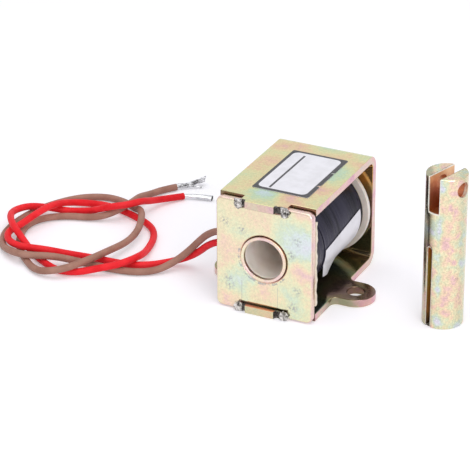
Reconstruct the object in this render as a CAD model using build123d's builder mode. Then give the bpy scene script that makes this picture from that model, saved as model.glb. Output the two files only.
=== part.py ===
from build123d import *
from math import cos, radians, sin, tan
import os

os.makedirs("parts", exist_ok=True)

# Open-frame push pull solenoid with its plunger standing beside it. Millimetres, +Z up.
# The origin lies on the floor, midway between the two mounting holes.
# The bore runs along Y and opens toward -Y.

# Steel frame, and how far a cut runs past what it cuts
SHEET = 2.0
FRAME_WIDTH = 25.0
FRAME_HEIGHT = 29.8
FRAME_FRONT = -15.5
FRAME_REAR = 20.5
BEND_RADIUS = 3.6
AXIS_Z = FRAME_HEIGHT / 2
CUT_MARGIN = 1.0

# Mounting ears of the base, their holes a set way out from the frame's sides
EAR_REACH = 3.9
EAR_HOLE_SPACING = FRAME_WIDTH + 2 * EAR_REACH
EAR_HOLE_D = 4.5
EAR_WIDTH = 9.8
EAR_FILLET = 1.7

# Front pole plate, staked on by two tabs
PLATE_T = 2.0
PLATE_OVERHANG = 0.1
PLATE_WIDTH = FRAME_WIDTH + 2 * PLATE_OVERHANG
PLATE_LOW = 0.3
PLATE_DROP = 0.6
PLATE_HIGH = FRAME_HEIGHT - PLATE_DROP
PLATE_CORNER = 1.5
TAB_WIDTH = 12.0
TAB_PROUD = 1.0
TAB_SPREAD = 1.15
TAB_SLANT = 0.4
STAKE_X = 4.4
STAKE_W = 0.7
STAKE_DEPTH = 0.7
STAKE_SHIFT = 0.7
NOTCH_CLEAR = 0.05

# Plunger and the bore that guides it
PLUNGER_D = 10.0
RUN_CLEAR = 0.1
BORE_D = PLUNGER_D + 2 * RUN_CLEAR
COLLAR_WALL = 0.8
COLLAR_OD = BORE_D + 2 * COLLAR_WALL
COLLAR_PROUD = 0.4
COLLAR_CHAMFER = 0.2
COLLAR_CLEAR = 0.05

# Insulation at the front of the coil
SHEET_GAP = 0.1
INSULATOR_T = 0.8
INSULATOR_OVERHANG = 0.2
INSULATOR_WIDTH = FRAME_WIDTH + 2 * INSULATOR_OVERHANG
INSULATOR_LOW_GAP = 2.3
INSULATOR_HIGH_GAP = 1.45
INSULATOR_LOW = SHEET + INSULATOR_LOW_GAP
INSULATOR_HIGH = FRAME_HEIGHT - SHEET - INSULATOR_HIGH_GAP

# Bobbin, its rear flange filling the frame's height
TUBE_STEP = 0.1
TUBE_ID = BORE_D + 2 * TUBE_STEP
TUBE_WALL = 1.0
FLANGE_T = 1.2
FLANGE_CLEAR = 0.3
REAR_FLANGE_R = AXIS_Z - SHEET - FLANGE_CLEAR
FRONT_FLANGE_STEP = 0.6
FRONT_FLANGE_R = REAR_FLANGE_R - FRONT_FLANGE_STEP
WASHER_T = 1.4
WASHER_W = 3.7
WASHER_R = TUBE_ID / 2 + SHEET_GAP + WASHER_W

# Coil
COIL_CLEAR = 0.05
WIRE_DROP = 2.0
WIRE_R = REAR_FLANGE_R - WIRE_DROP
FILM_T = 0.25
TAPE_T = 0.5
FRONT_TAPE_T = 0.4
TAPE_EDGE_BACK = 8.3
TAPE_EDGE_Y = FRAME_FRONT + TAPE_EDGE_BACK
TAPE_STEP = 0.15
TAPE_REAR_GAP = 0.5
TAPE_REAR_Y = FRAME_REAR - SHEET - WASHER_T - FLANGE_T - TAPE_REAR_GAP
LABEL_T = 0.12

# Printed labels, bare
TOP_LABEL_W = 14.8
TOP_LABEL_L = 23.4
TOP_LABEL_AT = (1.0, 0.95)
TOP_LABEL_TURN = -0.6
SIDE_LABEL_FRONT_GAP = 0.3
SIDE_LABEL_REAR_GAP = 1.7
SIDE_LABEL_FRONT = TAPE_EDGE_Y + SIDE_LABEL_FRONT_GAP
SIDE_LABEL_REAR = TAPE_REAR_Y - SIDE_LABEL_REAR_GAP
SIDE_LABEL_TOP_FRONT = 0.5
SIDE_LABEL_TOP_REAR = 11.0
SIDE_LABEL_SPAN = 49.0

# Fixed pole at the rear of the bore, with a copper ring in its face
POLE_CLEAR = 0.3
POLE_D = TUBE_ID - 2 * POLE_CLEAR
POLE_L = 9.0
SPIGOT_STEP = 1.9
SPIGOT_D = POLE_D - 2 * SPIGOT_STEP
RIVET_LIP = 0.8
RIVET_D = SPIGOT_D + 2 * RIVET_LIP
RIVET_T = 0.7
RING_EDGE = 0.9
RING_W = 0.8
RING_OD = POLE_D - 2 * RING_EDGE
RING_ID = RING_OD - 2 * RING_W
RING_DEPTH = 1.6
RING_CLEAR = 0.05

# Taped splice on the coil's left side
PAD_T = 1.85
PAD_FACE = -(WIRE_R + FILM_T + TAPE_T + PAD_T)
PAD_L = 8.0
PAD_FRONT = -11.2
PAD_REAR = PAD_FRONT + PAD_L
PAD_BELOW = 6.9
PAD_ABOVE = 3.3
PAD_LOW = AXIS_Z - PAD_BELOW
PAD_HIGH = AXIS_Z + PAD_ABOVE
PAD_ROUND = 1.0

# Plunger, standing on its foot
PLUNGER_AT = (39.5, -1.2)
PLUNGER_L = 39.1
PLUNGER_TURN = -17.0
PLUNGER_CHAMFER = 0.3
CLEVIS_SLOT = 3.0
CLEVIS_DEPTH = 9.0
PIN_HOLE_D = 3.8
PIN_HOLE_DROP = 3.15
SLIT_WIDTH = 1.45
SLIT_L = 20.9
SLIT_TURN = -8.0

# Leads
LEAD_D = 1.8
TIP_D = 1.0

# Each lead leaves the splice pad toward -X and lies on the floor in loose coils.
RED_POINTS = [
    (PAD_FACE, -7.0, 11.5), (-16.8, -7.0, 11.5), (-20.6, -6.0, 9.2), (-24.1, -3.8, 5.6),
    (-27.9, -2.4, 2.6), (-32.0, -3.9, 1.1), (-36.5, -8.2, 1.0), (-42.0, -10.0, 1.0),
    (-50.0, -10.2, 1.0), (-57.5, -11.0, 1.0), (-62.5, -14.6, 2.9), (-68.5, -16.2, 3.0),
    (-72.8, -14.4, 3.0), (-75.3, -10.2, 3.0), (-74.4, -5.7, 3.0), (-72.3, -1.5, 4.6),
    (-71.2, 3.2, 5.0), (-71.0, 8.5, 3.8), (-70.2, 14.0, 1.8), (-66.8, 17.0, 1.0),
    (-60.5, 17.9, 1.0), (-53.0, 15.5, 1.0), (-45.8, 12.0, 1.0), (-42.0, 6.5, 1.0),
    (-40.0, -1.8, 1.3), (-38.8, -8.0, 2.95), (-41.0, -13.8, 3.0), (-45.7, -16.8, 2.1),
    (-50.5, -19.1, 1.0), (-55.5, -20.2, 1.0), (-60.5, -17.7, 1.0), (-65.3, -14.8, 1.0),
    (-69.6, -12.6, 3.4), (-74.0, -9.8, 5.1), (-77.8, -4.8, 4.8), (-79.6, 0.6, 3.5),
    (-77.9, 5.0, 3.1), (-74.3, 7.8, 2.3), (-70.4, 10.1, 1.1), (-66.5, 11.7, 1.0),
    (-62.0, 11.8, 2.2), (-57.8, 10.9, 4.4), (-53.6, 12.9, 4.95), (-51.6, 17.2, 4.6),
    (-51.2, 21.2, 3.0), (-50.0, 26.8, 1.4), (-46.5, 31.3, 1.0),
]
BROWN_POINTS = [
    (PAD_FACE, -7.5, 14.7), (-16.8, -7.5, 14.7), (-20.5, -6.5, 12.4), (-23.8, -4.6, 8.9),
    (-26.9, -3.7, 5.3), (-29.8, -5.5, 2.5), (-33.0, -9.8, 1.0), (-38.0, -13.0, 1.0),
    (-46.0, -13.9, 1.0), (-53.5, -13.5, 1.0), (-58.5, -17.0, 2.9), (-64.5, -19.7, 3.0),
    (-70.0, -18.2, 2.3), (-75.0, -14.0, 1.0), (-77.8, -8.0, 1.0), (-78.5, -1.0, 1.0),
    (-77.0, 8.5, 1.0), (-71.7, 18.2, 1.0), (-65.0, 22.3, 1.0), (-59.0, 21.8, 1.0),
    (-54.3, 19.2, 1.0), (-50.8, 15.8, 2.9), (-48.3, 11.4, 3.1), (-46.4, 5.7, 2.3),
    (-45.9, -1.0, 2.2), (-47.2, -9.0, 3.0), (-50.0, -18.0, 3.1), (-53.6, -22.8, 2.6),
    (-59.5, -23.2, 1.2), (-65.5, -18.5, 1.0), (-71.4, -12.0, 1.0), (-75.2, -2.5, 1.0),
    (-73.6, 3.8, 1.0), (-68.5, 7.8, 1.0), (-61.8, 9.6, 1.0), (-57.8, 11.3, 2.1),
    (-55.6, 14.6, 3.0), (-55.0, 18.8, 3.05), (-55.2, 23.2, 2.6), (-54.8, 27.8, 1.3),
    (-53.4, 32.2, 1.0), (-50.8, 35.5, 1.0),
]
RED_TIP_POINTS = [
    (-46.5, 31.3, 1.0), (-45.8, 32.2, 0.92), (-43.4, 33.4, 0.7), (-39.4, 33.8, 0.6),
]
BROWN_TIP_POINTS = [
    (-50.8, 35.5, 1.0), (-49.5, 37.15, 1.0), (-47.0, 39.9, 0.7), (-44.5, 42.2, 0.6),
]

# Places that follow from the sizes above
plate_back = FRAME_FRONT
plate_front = plate_back - PLATE_T
tab_end = plate_front - TAB_PROUD
insulator_rear = plate_back + INSULATOR_T
back_wall = FRAME_REAR - SHEET
top_inner = FRAME_HEIGHT - SHEET
tube_r = TUBE_ID / 2 + TUBE_WALL
front_flange_rear = insulator_rear + FLANGE_T
rear_flange_rear = back_wall - WASHER_T
rear_flange_front = rear_flange_rear - FLANGE_T
film_r = WIRE_R + FILM_T
tape_r = film_r + TAPE_T
pole_face = back_wall - POLE_L


def ring_on_axis(y0, y1, outer, inner):
    """Ring about the bore's axis from y0 to y1, cut or added in the open part."""
    with BuildSketch(Plane.XZ.offset(-y0)) as ring:
        with Locations((0, AXIS_Z)):
            Circle(outer)
            if inner > 0:
                Circle(inner, mode=Mode.SUBTRACT)
    extrude(ring.sketch, amount=y0 - y1)


def cord_path(points):
    """Straight runs joined by tangent arcs, each radius set by its shorter run and its turn."""
    at = [Vector(p) for p in points]
    radii = []
    for before, here, after in zip(at, at[1:], at[2:]):
        turn = (here - before).get_angle(after - here)
        shorter = min((here - before).length, (after - here).length)
        radii.append(0.45 * shorter / tan(radians(turn) / 2))
    with BuildLine() as path:
        FilletPolyline(*points, radius=radii)
    return path.wire(), radii


def sweep_cord(points, diameter):
    """Round cord along the path, added to the open part. Gives back its shortest radius."""
    path, radii = cord_path(points)
    with BuildSketch(Plane(origin=path @ 0, z_dir=path % 0)) as section:
        Circle(diameter / 2)
    sweep(section.sketch, path=path)
    return path.length, min(radii)


# Bent C-shaped frame with two ears at its base and two staked tabs at its front
with BuildPart() as c_frame:
    with BuildSketch(Plane.YZ.offset(-FRAME_WIDTH / 2)):
        with BuildLine():
            outside = FilletPolyline(
                (FRAME_FRONT, 0), (FRAME_REAR, 0), (FRAME_REAR, FRAME_HEIGHT), (FRAME_FRONT, FRAME_HEIGHT),
                radius=BEND_RADIUS,
            )
            Line(outside @ 1, (FRAME_FRONT, top_inner))
            inside = FilletPolyline(
                (FRAME_FRONT, top_inner), (back_wall, top_inner), (back_wall, SHEET), (FRAME_FRONT, SHEET),
                radius=BEND_RADIUS - SHEET,
            )
            Line(inside @ 1, outside @ 0)
        make_face()
    extrude(amount=FRAME_WIDTH)
    # Ears, rounded about their holes and filleted into the base
    with BuildSketch(Plane.XY) as ears:
        Rectangle(EAR_HOLE_SPACING, EAR_WIDTH)
        with Locations((-EAR_HOLE_SPACING / 2, 0), (EAR_HOLE_SPACING / 2, 0)):
            Circle(EAR_WIDTH / 2)
        Rectangle(FRAME_WIDTH, EAR_WIDTH + 4 * EAR_FILLET)
        corners = ears.vertices().filter_by(lambda v: abs(abs(v.X) - FRAME_WIDTH / 2) < 0.01)
        fillet(corners.filter_by(lambda v: abs(v.Y) < EAR_WIDTH / 2 + 0.01), EAR_FILLET)
        with Locations((-EAR_HOLE_SPACING / 2, 0), (EAR_HOLE_SPACING / 2, 0)):
            Circle(EAR_HOLE_D / 2, mode=Mode.SUBTRACT)
    extrude(amount=SHEET)
    # Tabs: necks through the plate's notches, then heads split by a chisel and spread over the
    # plate. The chisel landed STAKE_SHIFT toward -X of the middle.
    half = TAB_WIDTH / 2
    for level in (0, top_inner):
        for side in (-1, 1):
            split = STAKE_X - side * STAKE_SHIFT
            spread = half + TAB_SPREAD - side * STAKE_SHIFT
            with BuildSketch(Plane.XY.offset(level)) as tab:
                with BuildLine():
                    Polyline(
                        (0, FRAME_FRONT), (side * half, FRAME_FRONT), (side * half, plate_front),
                        (side * spread, plate_front), (side * spread, tab_end + TAB_SLANT),
                        (side * (split + STAKE_W), tab_end), (side * (split + STAKE_W / 2), tab_end),
                        (side * split, tab_end + STAKE_DEPTH), (side * (split - STAKE_W / 2), tab_end),
                        (0, tab_end), close=True,
                    )
                make_face()
            extrude(tab.sketch, amount=SHEET)
    # Hole for the fixed pole's spigot
    with BuildSketch(Plane.XZ.offset(-back_wall + CUT_MARGIN)):
        with Locations((0, AXIS_Z)):
            Circle(SPIGOT_D / 2 + COLLAR_CLEAR)
    extrude(amount=-SHEET - 2 * CUT_MARGIN, mode=Mode.SUBTRACT)
c_frame.part.label = "c_frame"
export_step(c_frame.part, "parts/c_frame.step")

# Flat pole plate across the front, notched for the tabs and bored for the collar
with BuildPart() as front_plate:
    with BuildSketch(Plane.XZ.offset(-plate_back)):
        with Locations((0, (PLATE_LOW + PLATE_HIGH) / 2)):
            RectangleRounded(PLATE_WIDTH, PLATE_HIGH - PLATE_LOW, PLATE_CORNER)
        with Locations((0, (SHEET + NOTCH_CLEAR) / 2)):
            Rectangle(TAB_WIDTH + 2 * NOTCH_CLEAR, SHEET + NOTCH_CLEAR, mode=Mode.SUBTRACT)
        with Locations((0, FRAME_HEIGHT - (SHEET + NOTCH_CLEAR) / 2)):
            Rectangle(TAB_WIDTH + 2 * NOTCH_CLEAR, SHEET + NOTCH_CLEAR, mode=Mode.SUBTRACT)
        with Locations((0, AXIS_Z)):
            Circle(COLLAR_OD / 2 + COLLAR_CLEAR, mode=Mode.SUBTRACT)
    extrude(amount=PLATE_T)
front_plate.part.label = "front_plate"
export_step(front_plate.part, "parts/front_plate.step")

# Guide collar pressed into the plate, its mouth broken by a small chamfer
with BuildPart() as bore_collar:
    ring_on_axis(plate_front - COLLAR_PROUD, plate_back, COLLAR_OD / 2, BORE_D / 2)
    mouth = bore_collar.edges().filter_by(GeomType.CIRCLE).group_by(Axis.Y)[0]
    chamfer(mouth, COLLAR_CHAMFER)
bore_collar.part.label = "bore_collar"
export_step(bore_collar.part, "parts/bore_collar.step")

# Insulating sheet between the plate and the bobbin
with BuildPart() as front_insulator:
    with BuildSketch(Plane.XZ.offset(-plate_back)):
        with Locations((0, (INSULATOR_LOW + INSULATOR_HIGH) / 2)):
            Rectangle(INSULATOR_WIDTH, INSULATOR_HIGH - INSULATOR_LOW)
        with Locations((0, AXIS_Z)):
            Circle(COLLAR_OD / 2 + SHEET_GAP, mode=Mode.SUBTRACT)
    extrude(amount=-INSULATOR_T)
front_insulator.part.label = "front_insulator"
export_step(front_insulator.part, "parts/front_insulator.step")

# Moulded bobbin: guide tube with a round flange at each end of the coil
with BuildPart() as bobbin:
    ring_on_axis(insulator_rear, rear_flange_rear, tube_r, TUBE_ID / 2)
    ring_on_axis(insulator_rear, front_flange_rear, FRONT_FLANGE_R, TUBE_ID / 2)
    ring_on_axis(rear_flange_front, rear_flange_rear, REAR_FLANGE_R, TUBE_ID / 2)
bobbin.part.label = "bobbin"
export_step(bobbin.part, "parts/bobbin.step")

# Fibre washer that takes up the slack behind the bobbin
with BuildPart() as rear_washer:
    ring_on_axis(rear_flange_rear, back_wall, WASHER_R, TUBE_ID / 2 + SHEET_GAP)
rear_washer.part.label = "rear_washer"
export_step(rear_washer.part, "parts/rear_washer.step")

# Copper winding, from flange to flange
with BuildPart() as winding:
    ring_on_axis(front_flange_rear, rear_flange_front, WIRE_R, tube_r + COIL_CLEAR)
winding.part.label = "winding"
export_step(winding.part, "parts/winding.step")

# Film wrapped over the winding
with BuildPart() as coil_film:
    ring_on_axis(front_flange_rear, rear_flange_front, film_r, WIRE_R + COIL_CLEAR)
coil_film.part.label = "coil_film"
export_step(coil_film.part, "parts/coil_film.step")

# Black tape over the film: a wide band at the rear and a narrower one at the front
with BuildPart() as coil_tape:
    ring_on_axis(TAPE_EDGE_Y, TAPE_REAR_Y, tape_r, film_r + COIL_CLEAR)
coil_tape.part.label = "coil_tape"
export_step(coil_tape.part, "parts/coil_tape.step")

with BuildPart() as coil_tape_front:
    ring_on_axis(front_flange_rear, TAPE_EDGE_Y - TAPE_STEP, film_r + FRONT_TAPE_T, film_r + COIL_CLEAR)
coil_tape_front.part.label = "coil_tape_front"
export_step(coil_tape_front.part, "parts/coil_tape_front.step")

# Label strip stuck round the coil's right side, a little askew
with BuildPart() as coil_label:
    ring_on_axis(SIDE_LABEL_FRONT, SIDE_LABEL_REAR, tape_r + COIL_CLEAR + LABEL_T, tape_r + COIL_CLEAR)
    far = REAR_FLANGE_R
    top_front = AXIS_Z + tape_r * sin(radians(SIDE_LABEL_TOP_FRONT))
    top_rear = AXIS_Z + tape_r * sin(radians(SIDE_LABEL_TOP_REAR))
    low_front = AXIS_Z + tape_r * sin(radians(SIDE_LABEL_TOP_FRONT - SIDE_LABEL_SPAN))
    low_rear = AXIS_Z + tape_r * sin(radians(SIDE_LABEL_TOP_REAR - SIDE_LABEL_SPAN))
    with BuildSketch(Plane.YZ):
        with BuildLine():
            Polyline(
                (SIDE_LABEL_FRONT, low_front), (SIDE_LABEL_REAR, low_rear),
                (SIDE_LABEL_REAR, top_rear), (SIDE_LABEL_FRONT, top_front), close=True,
            )
        make_face()
    extrude(amount=far, mode=Mode.INTERSECT)
coil_label.part.label = "coil_label"
export_step(coil_label.part, "parts/coil_label.step")

# Label on the frame's top
with BuildPart() as top_label:
    with BuildSketch(Plane.XY.offset(FRAME_HEIGHT)):
        with Locations(Location(TOP_LABEL_AT, TOP_LABEL_TURN)):
            Rectangle(TOP_LABEL_W, TOP_LABEL_L)
    extrude(amount=LABEL_T)
top_label.part.label = "top_label"
export_step(top_label.part, "parts/top_label.step")

# Fixed pole: a stub in the rear of the bore, its spigot riveted over behind the frame
with BuildPart() as fixed_pole:
    ring_on_axis(pole_face, back_wall, POLE_D / 2, 0)
    ring_on_axis(back_wall, FRAME_REAR, SPIGOT_D / 2, 0)
    ring_on_axis(FRAME_REAR, FRAME_REAR + RIVET_T, RIVET_D / 2, 0)
    rim = fixed_pole.edges().filter_by(GeomType.CIRCLE).group_by(Axis.Y)[-1]
    chamfer(rim, RIVET_T / 2)
    with BuildSketch(Plane.XZ.offset(-pole_face)):
        with Locations((0, AXIS_Z)):
            Circle(RING_OD / 2)
            Circle(RING_ID / 2, mode=Mode.SUBTRACT)
    extrude(amount=-RING_DEPTH, mode=Mode.SUBTRACT)
fixed_pole.part.label = "fixed_pole"
export_step(fixed_pole.part, "parts/fixed_pole.step")

# Copper shading ring set in the pole's face
with BuildPart() as shading_ring:
    ring_on_axis(pole_face, pole_face + RING_DEPTH, RING_OD / 2 - RING_CLEAR, RING_ID / 2 + RING_CLEAR)
shading_ring.part.label = "shading_ring"
export_step(shading_ring.part, "parts/shading_ring.step")

# Taped splice on the coil's left side, where the leads come out
with BuildPart() as splice_pad:
    with BuildSketch(Plane.YZ.offset(PAD_FACE)):
        with Locations(((PAD_FRONT + PAD_REAR) / 2, (PAD_LOW + PAD_HIGH) / 2)):
            RectangleRounded(PAD_REAR - PAD_FRONT, PAD_HIGH - PAD_LOW, PAD_ROUND)
    extrude(amount=-PAD_FACE - tape_r / 2)
    ring_cut = tape_r + COIL_CLEAR
    with BuildSketch(Plane.XZ.offset(-PAD_FRONT + CUT_MARGIN)):
        with Locations((0, AXIS_Z)):
            Circle(ring_cut)
    extrude(amount=-PAD_L - 2 * CUT_MARGIN, mode=Mode.SUBTRACT)
splice_pad.part.label = "splice_pad"
export_step(splice_pad.part, "parts/splice_pad.step")

# Leads and their tinned tips
with BuildPart() as red_lead:
    red_length, red_radius = sweep_cord(RED_POINTS, LEAD_D)
red_lead.part.label = "red_lead"
export_step(red_lead.part, "parts/red_lead.step")

with BuildPart() as brown_lead:
    brown_length, brown_radius = sweep_cord(BROWN_POINTS, LEAD_D)
brown_lead.part.label = "brown_lead"
export_step(brown_lead.part, "parts/brown_lead.step")

with BuildPart() as red_tip:
    sweep_cord(RED_TIP_POINTS, TIP_D)
red_tip.part.label = "red_tip"
export_step(red_tip.part, "parts/red_tip.step")

with BuildPart() as brown_tip:
    sweep_cord(BROWN_TIP_POINTS, TIP_D)
brown_tip.part.label = "brown_tip"
export_step(brown_tip.part, "parts/brown_tip.step")

# Plunger: a round bar with a clevis slot and pin hole at its top and one long slit at its foot
with BuildPart() as plunger:
    foot = Plane(origin=(*PLUNGER_AT, 0))
    turned = foot.rotated((0, 0, PLUNGER_TURN))
    slit_plane = foot.rotated((0, 0, PLUNGER_TURN + SLIT_TURN))
    with BuildSketch(foot):
        Circle(PLUNGER_D / 2)
    extrude(amount=PLUNGER_L)
    chamfer(plunger.edges().filter_by(GeomType.CIRCLE), PLUNGER_CHAMFER)
    with BuildSketch(turned.offset(PLUNGER_L - CLEVIS_DEPTH)):
        Rectangle(CLEVIS_SLOT, 2 * PLUNGER_D)
    extrude(amount=CLEVIS_DEPTH + CUT_MARGIN, mode=Mode.SUBTRACT)
    pin_z = PLUNGER_L - PIN_HOLE_DROP
    across = Plane(origin=(*PLUNGER_AT, pin_z), x_dir=turned.y_dir, z_dir=turned.x_dir)
    with BuildSketch(across.offset(-PLUNGER_D)):
        Circle(PIN_HOLE_D / 2)
    extrude(amount=2 * PLUNGER_D, mode=Mode.SUBTRACT)
    with BuildSketch(slit_plane.offset(-CUT_MARGIN)):
        with Locations((0, -PLUNGER_D / 2)):
            Rectangle(SLIT_WIDTH, PLUNGER_D)
    extrude(amount=SLIT_L + CUT_MARGIN, mode=Mode.SUBTRACT)
plunger.part.label = "plunger"
export_step(plunger.part, "parts/plunger.step")

for name, points, length, radius, part in (
    ("red_lead", RED_POINTS, red_length, red_radius, red_lead.part),
    ("brown_lead", BROWN_POINTS, brown_length, brown_radius, brown_lead.part),
):
    section = 3.14159 * (LEAD_D / 2) ** 2
    print(name, "length", round(length, 1), "least radius", round(radius, 2))
    print("  volume over section times length", round(part.volume / (section * length), 4))
    print("  radii", [round(r, 1) for r in cord_path(points)[1]])
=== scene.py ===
import bpy
import bmesh
import math
from mathutils import Matrix, Vector, noise


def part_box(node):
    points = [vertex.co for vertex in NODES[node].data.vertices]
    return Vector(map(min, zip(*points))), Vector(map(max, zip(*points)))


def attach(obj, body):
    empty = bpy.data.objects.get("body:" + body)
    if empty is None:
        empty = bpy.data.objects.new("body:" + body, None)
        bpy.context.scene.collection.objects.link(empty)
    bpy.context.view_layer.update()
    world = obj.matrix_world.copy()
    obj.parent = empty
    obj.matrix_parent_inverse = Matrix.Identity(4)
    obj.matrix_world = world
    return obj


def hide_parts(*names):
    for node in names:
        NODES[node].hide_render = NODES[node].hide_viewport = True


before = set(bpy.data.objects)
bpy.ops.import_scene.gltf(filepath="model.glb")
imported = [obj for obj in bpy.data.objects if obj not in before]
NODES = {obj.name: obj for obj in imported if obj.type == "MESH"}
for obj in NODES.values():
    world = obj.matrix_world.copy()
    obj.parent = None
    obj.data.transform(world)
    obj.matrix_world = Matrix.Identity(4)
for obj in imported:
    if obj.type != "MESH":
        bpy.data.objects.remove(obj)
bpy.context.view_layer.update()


# View: a long lens from the front right, a little above, as the product was photographed.
# The camera stands half a metre or more away, so the frame's edges run almost parallel.
AZIMUTH = math.radians(26.17)
ELEVATION = math.radians(26.4)
ROLL = math.radians(-0.23)
camera_data = bpy.data.cameras.new("camera")
camera_data.lens = 197.46
camera_data.sensor_width = 36.0
camera_data.clip_start = 0.05
camera_data.clip_end = 20.0
camera = bpy.data.objects.new("camera", camera_data)
camera.matrix_world = (
    Matrix.Translation((0.2345, -0.5101, 0.2923))
    @ Matrix.Rotation(AZIMUTH, 4, "Z")
    @ Matrix.Rotation(math.pi / 2 - ELEVATION, 4, "X")
    @ Matrix.Rotation(ROLL, 4, "Z")
)
bpy.context.scene.collection.objects.link(camera)
bpy.context.scene.camera = camera
bpy.context.scene.view_settings.view_transform = "Standard"


# Table and light: a white sweep under a large soft source, with a second one low at the left.
# The sheet stays white to the camera and in reflections, and still takes the object's shadow.
def material(name):
    mat = bpy.data.materials.new(name)
    mat.use_nodes = True
    tree = mat.node_tree
    tree.nodes.clear()
    out = tree.nodes.new("ShaderNodeOutputMaterial")
    return mat, tree, out


def link(tree, a, b):
    tree.links.new(a, b)


def shown(tree, as_light, as_seen):
    """Strength that differs between the light it gives and how it looks itself or mirrored."""
    path = tree.nodes.new("ShaderNodeLightPath")
    seen = tree.nodes.new("ShaderNodeMath")
    seen.operation = "MAXIMUM"
    link(tree, path.outputs["Is Camera Ray"], seen.inputs[0])
    link(tree, path.outputs["Is Glossy Ray"], seen.inputs[1])
    level = tree.nodes.new("ShaderNodeMath")
    level.operation = "MULTIPLY_ADD"
    level.inputs[1].default_value = as_seen - as_light
    level.inputs[2].default_value = as_light
    link(tree, seen.outputs[0], level.inputs[0])
    return level.outputs[0]


floor_mat, tree, out = material("white_sweep")
lit = tree.nodes.new("ShaderNodeBsdfDiffuse")
lit.inputs["Color"].default_value = (0.88, 0.87, 0.92, 1)
glow = tree.nodes.new("ShaderNodeEmission")
link(tree, shown(tree, 0.0, 0.25), glow.inputs["Strength"])
both = tree.nodes.new("ShaderNodeAddShader")
link(tree, lit.outputs[0], both.inputs[0])
link(tree, glow.outputs[0], both.inputs[1])
link(tree, both.outputs[0], out.inputs["Surface"])
bpy.ops.mesh.primitive_plane_add(size=8, location=(0, 0, 0))
floor = bpy.context.object
floor.name = "white_sweep"
floor.data.materials.append(floor_mat)

world = bpy.data.worlds.new("studio")
bpy.context.scene.world = world
world.use_nodes = True
tree = world.node_tree
tree.nodes.clear()
out = tree.nodes.new("ShaderNodeOutputWorld")
back = tree.nodes.new("ShaderNodeBackground")
back.inputs["Color"].default_value = (0.97, 0.98, 1.0, 1)
link(tree, shown(tree, 0.60, 0.95), back.inputs["Strength"])
link(tree, back.outputs[0], out.inputs["Surface"])


def soft_box(name, place, aim, size, power, colour):
    lamp = bpy.data.lights.new(name, "AREA")
    lamp.shape = "RECTANGLE"
    lamp.size, lamp.size_y = size
    lamp.energy = power
    lamp.color = colour
    obj = bpy.data.objects.new(name, lamp)
    obj.location = place
    obj.rotation_euler = (Vector(aim) - Vector(place)).to_track_quat("-Z", "Y").to_euler()
    bpy.context.scene.collection.objects.link(obj)


soft_box("top_light", (0.05, -0.10, 0.62), (0, 0, 0.01), (0.6, 0.6), 1.5, (1.0, 0.99, 0.97))
soft_box("right_light", (0.50, -0.50, 0.30), (0, 0, 0.01), (0.4, 0.4), 1.6, (1.0, 1.0, 1.0))


# Frame: 2 mm steel strip, blanked with its ears and tabs, bent up to a C and zinc plated with a
# yellow chromate. The tabs at its two ends go through the pole plate and are staked over it.
MM = 0.001
SHEET = 2.0
BEND = 3.6
HALF_WIDTH = 12.5
END_GAP = 0.3
EDGE = 0.2
EAR_R = 4.9
EAR_X = 16.4
EAR_HOLE_R = 2.25
EAR_FILLET = 1.7
frame_low, frame_high = (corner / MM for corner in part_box("c_frame"))
plate_low, plate_high = (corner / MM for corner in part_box("front_plate"))
FRONT = plate_high.y
REAR = frame_high.y
HEIGHT = frame_high.z
AXIS_Z = HEIGHT / 2
FLAT = REAR - BEND - FRONT
ARC = BEND * math.pi / 2
UPRIGHT = HEIGHT - 2 * BEND
STRIP = 2 * FLAT + 2 * ARC + UPRIGHT


def arc(centre, radius, start, stop, steps):
    """Points of an arc between two angles in degrees."""
    turns = [math.radians(start + (stop - start) * i / steps) for i in range(steps + 1)]
    return [(centre[0] + radius * math.cos(t), centre[1] + radius * math.sin(t)) for t in turns]


def blank(outline, holes, thickness, edge):
    """Flat blank about z = 0, in millimetres, with its cut edges rounded over."""
    curve = bpy.data.curves.new("blank", "CURVE")
    curve.dimensions = "2D"
    curve.fill_mode = "BOTH"
    for loop in [outline, *holes]:
        spline = curve.splines.new("POLY")
        spline.points.add(len(loop) - 1)
        for point, (u, v) in zip(spline.points, loop):
            point.co = (u, v, 0, 1)
        spline.use_cyclic_u = True
    curve.extrude = thickness / 2 - edge
    curve.bevel_depth = edge
    curve.bevel_resolution = 2
    curve.offset = -edge
    cutter = bpy.data.objects.new("blank", curve)
    bpy.context.scene.collection.objects.link(cutter)
    mesh = bpy.data.meshes.new_from_object(cutter.evaluated_get(bpy.context.evaluated_depsgraph_get()))
    bpy.data.objects.remove(cutter)
    shape = bmesh.new()
    shape.from_mesh(mesh)
    bpy.data.meshes.remove(mesh)
    bmesh.ops.remove_doubles(shape, verts=shape.verts, dist=1e-4)
    return shape


def mark_sides(shape):
    """Second finish for the blank's sheared sides, third for the side that ends up inside."""
    for face in shape.faces:
        if abs(face.normal.z) < 0.5:
            face.material_index = 1
        elif face.normal.z < 0:
            face.material_index = 2


def mark_tabs(shape):
    """Torn steel on the tabs' split ends, painted shade in the chisel grooves, the ear holes and the shoulder gaps, a
    painted reflection on the low tab's top, and the film's own colours on the tabs' other faces.
    """
    for face in shape.faces:
        spot = face.calc_center_median()
        past = max(-spot.y, spot.y - STRIP)
        if abs(face.normal.z) < 0.5 and math.hypot(abs(spot.x) - EAR_X, spot.y + FRONT) < EAR_HOLE_R + 0.1:
            face.material_index = 7
        elif past > 2.0 and (2.95 < spot.x < 4.5 or -5.6 < spot.x < -4.55):
            face.material_index = 3
        elif past > 2.0 and not -5.6 < spot.x < 4.5:
            face.material_index = 6
        elif past > 2.0 and spot.y < 0:
            face.material_index = 5 if face.normal.z < -0.5 else 4
        elif past > 2.0 and abs(face.normal.z) < 0.5:
            face.material_index = 8
        elif abs(past + END_GAP) < 0.25 and abs(spot.x) > 6.05 and abs(face.normal.y) > 0.9:
            face.material_index = 7


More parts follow.
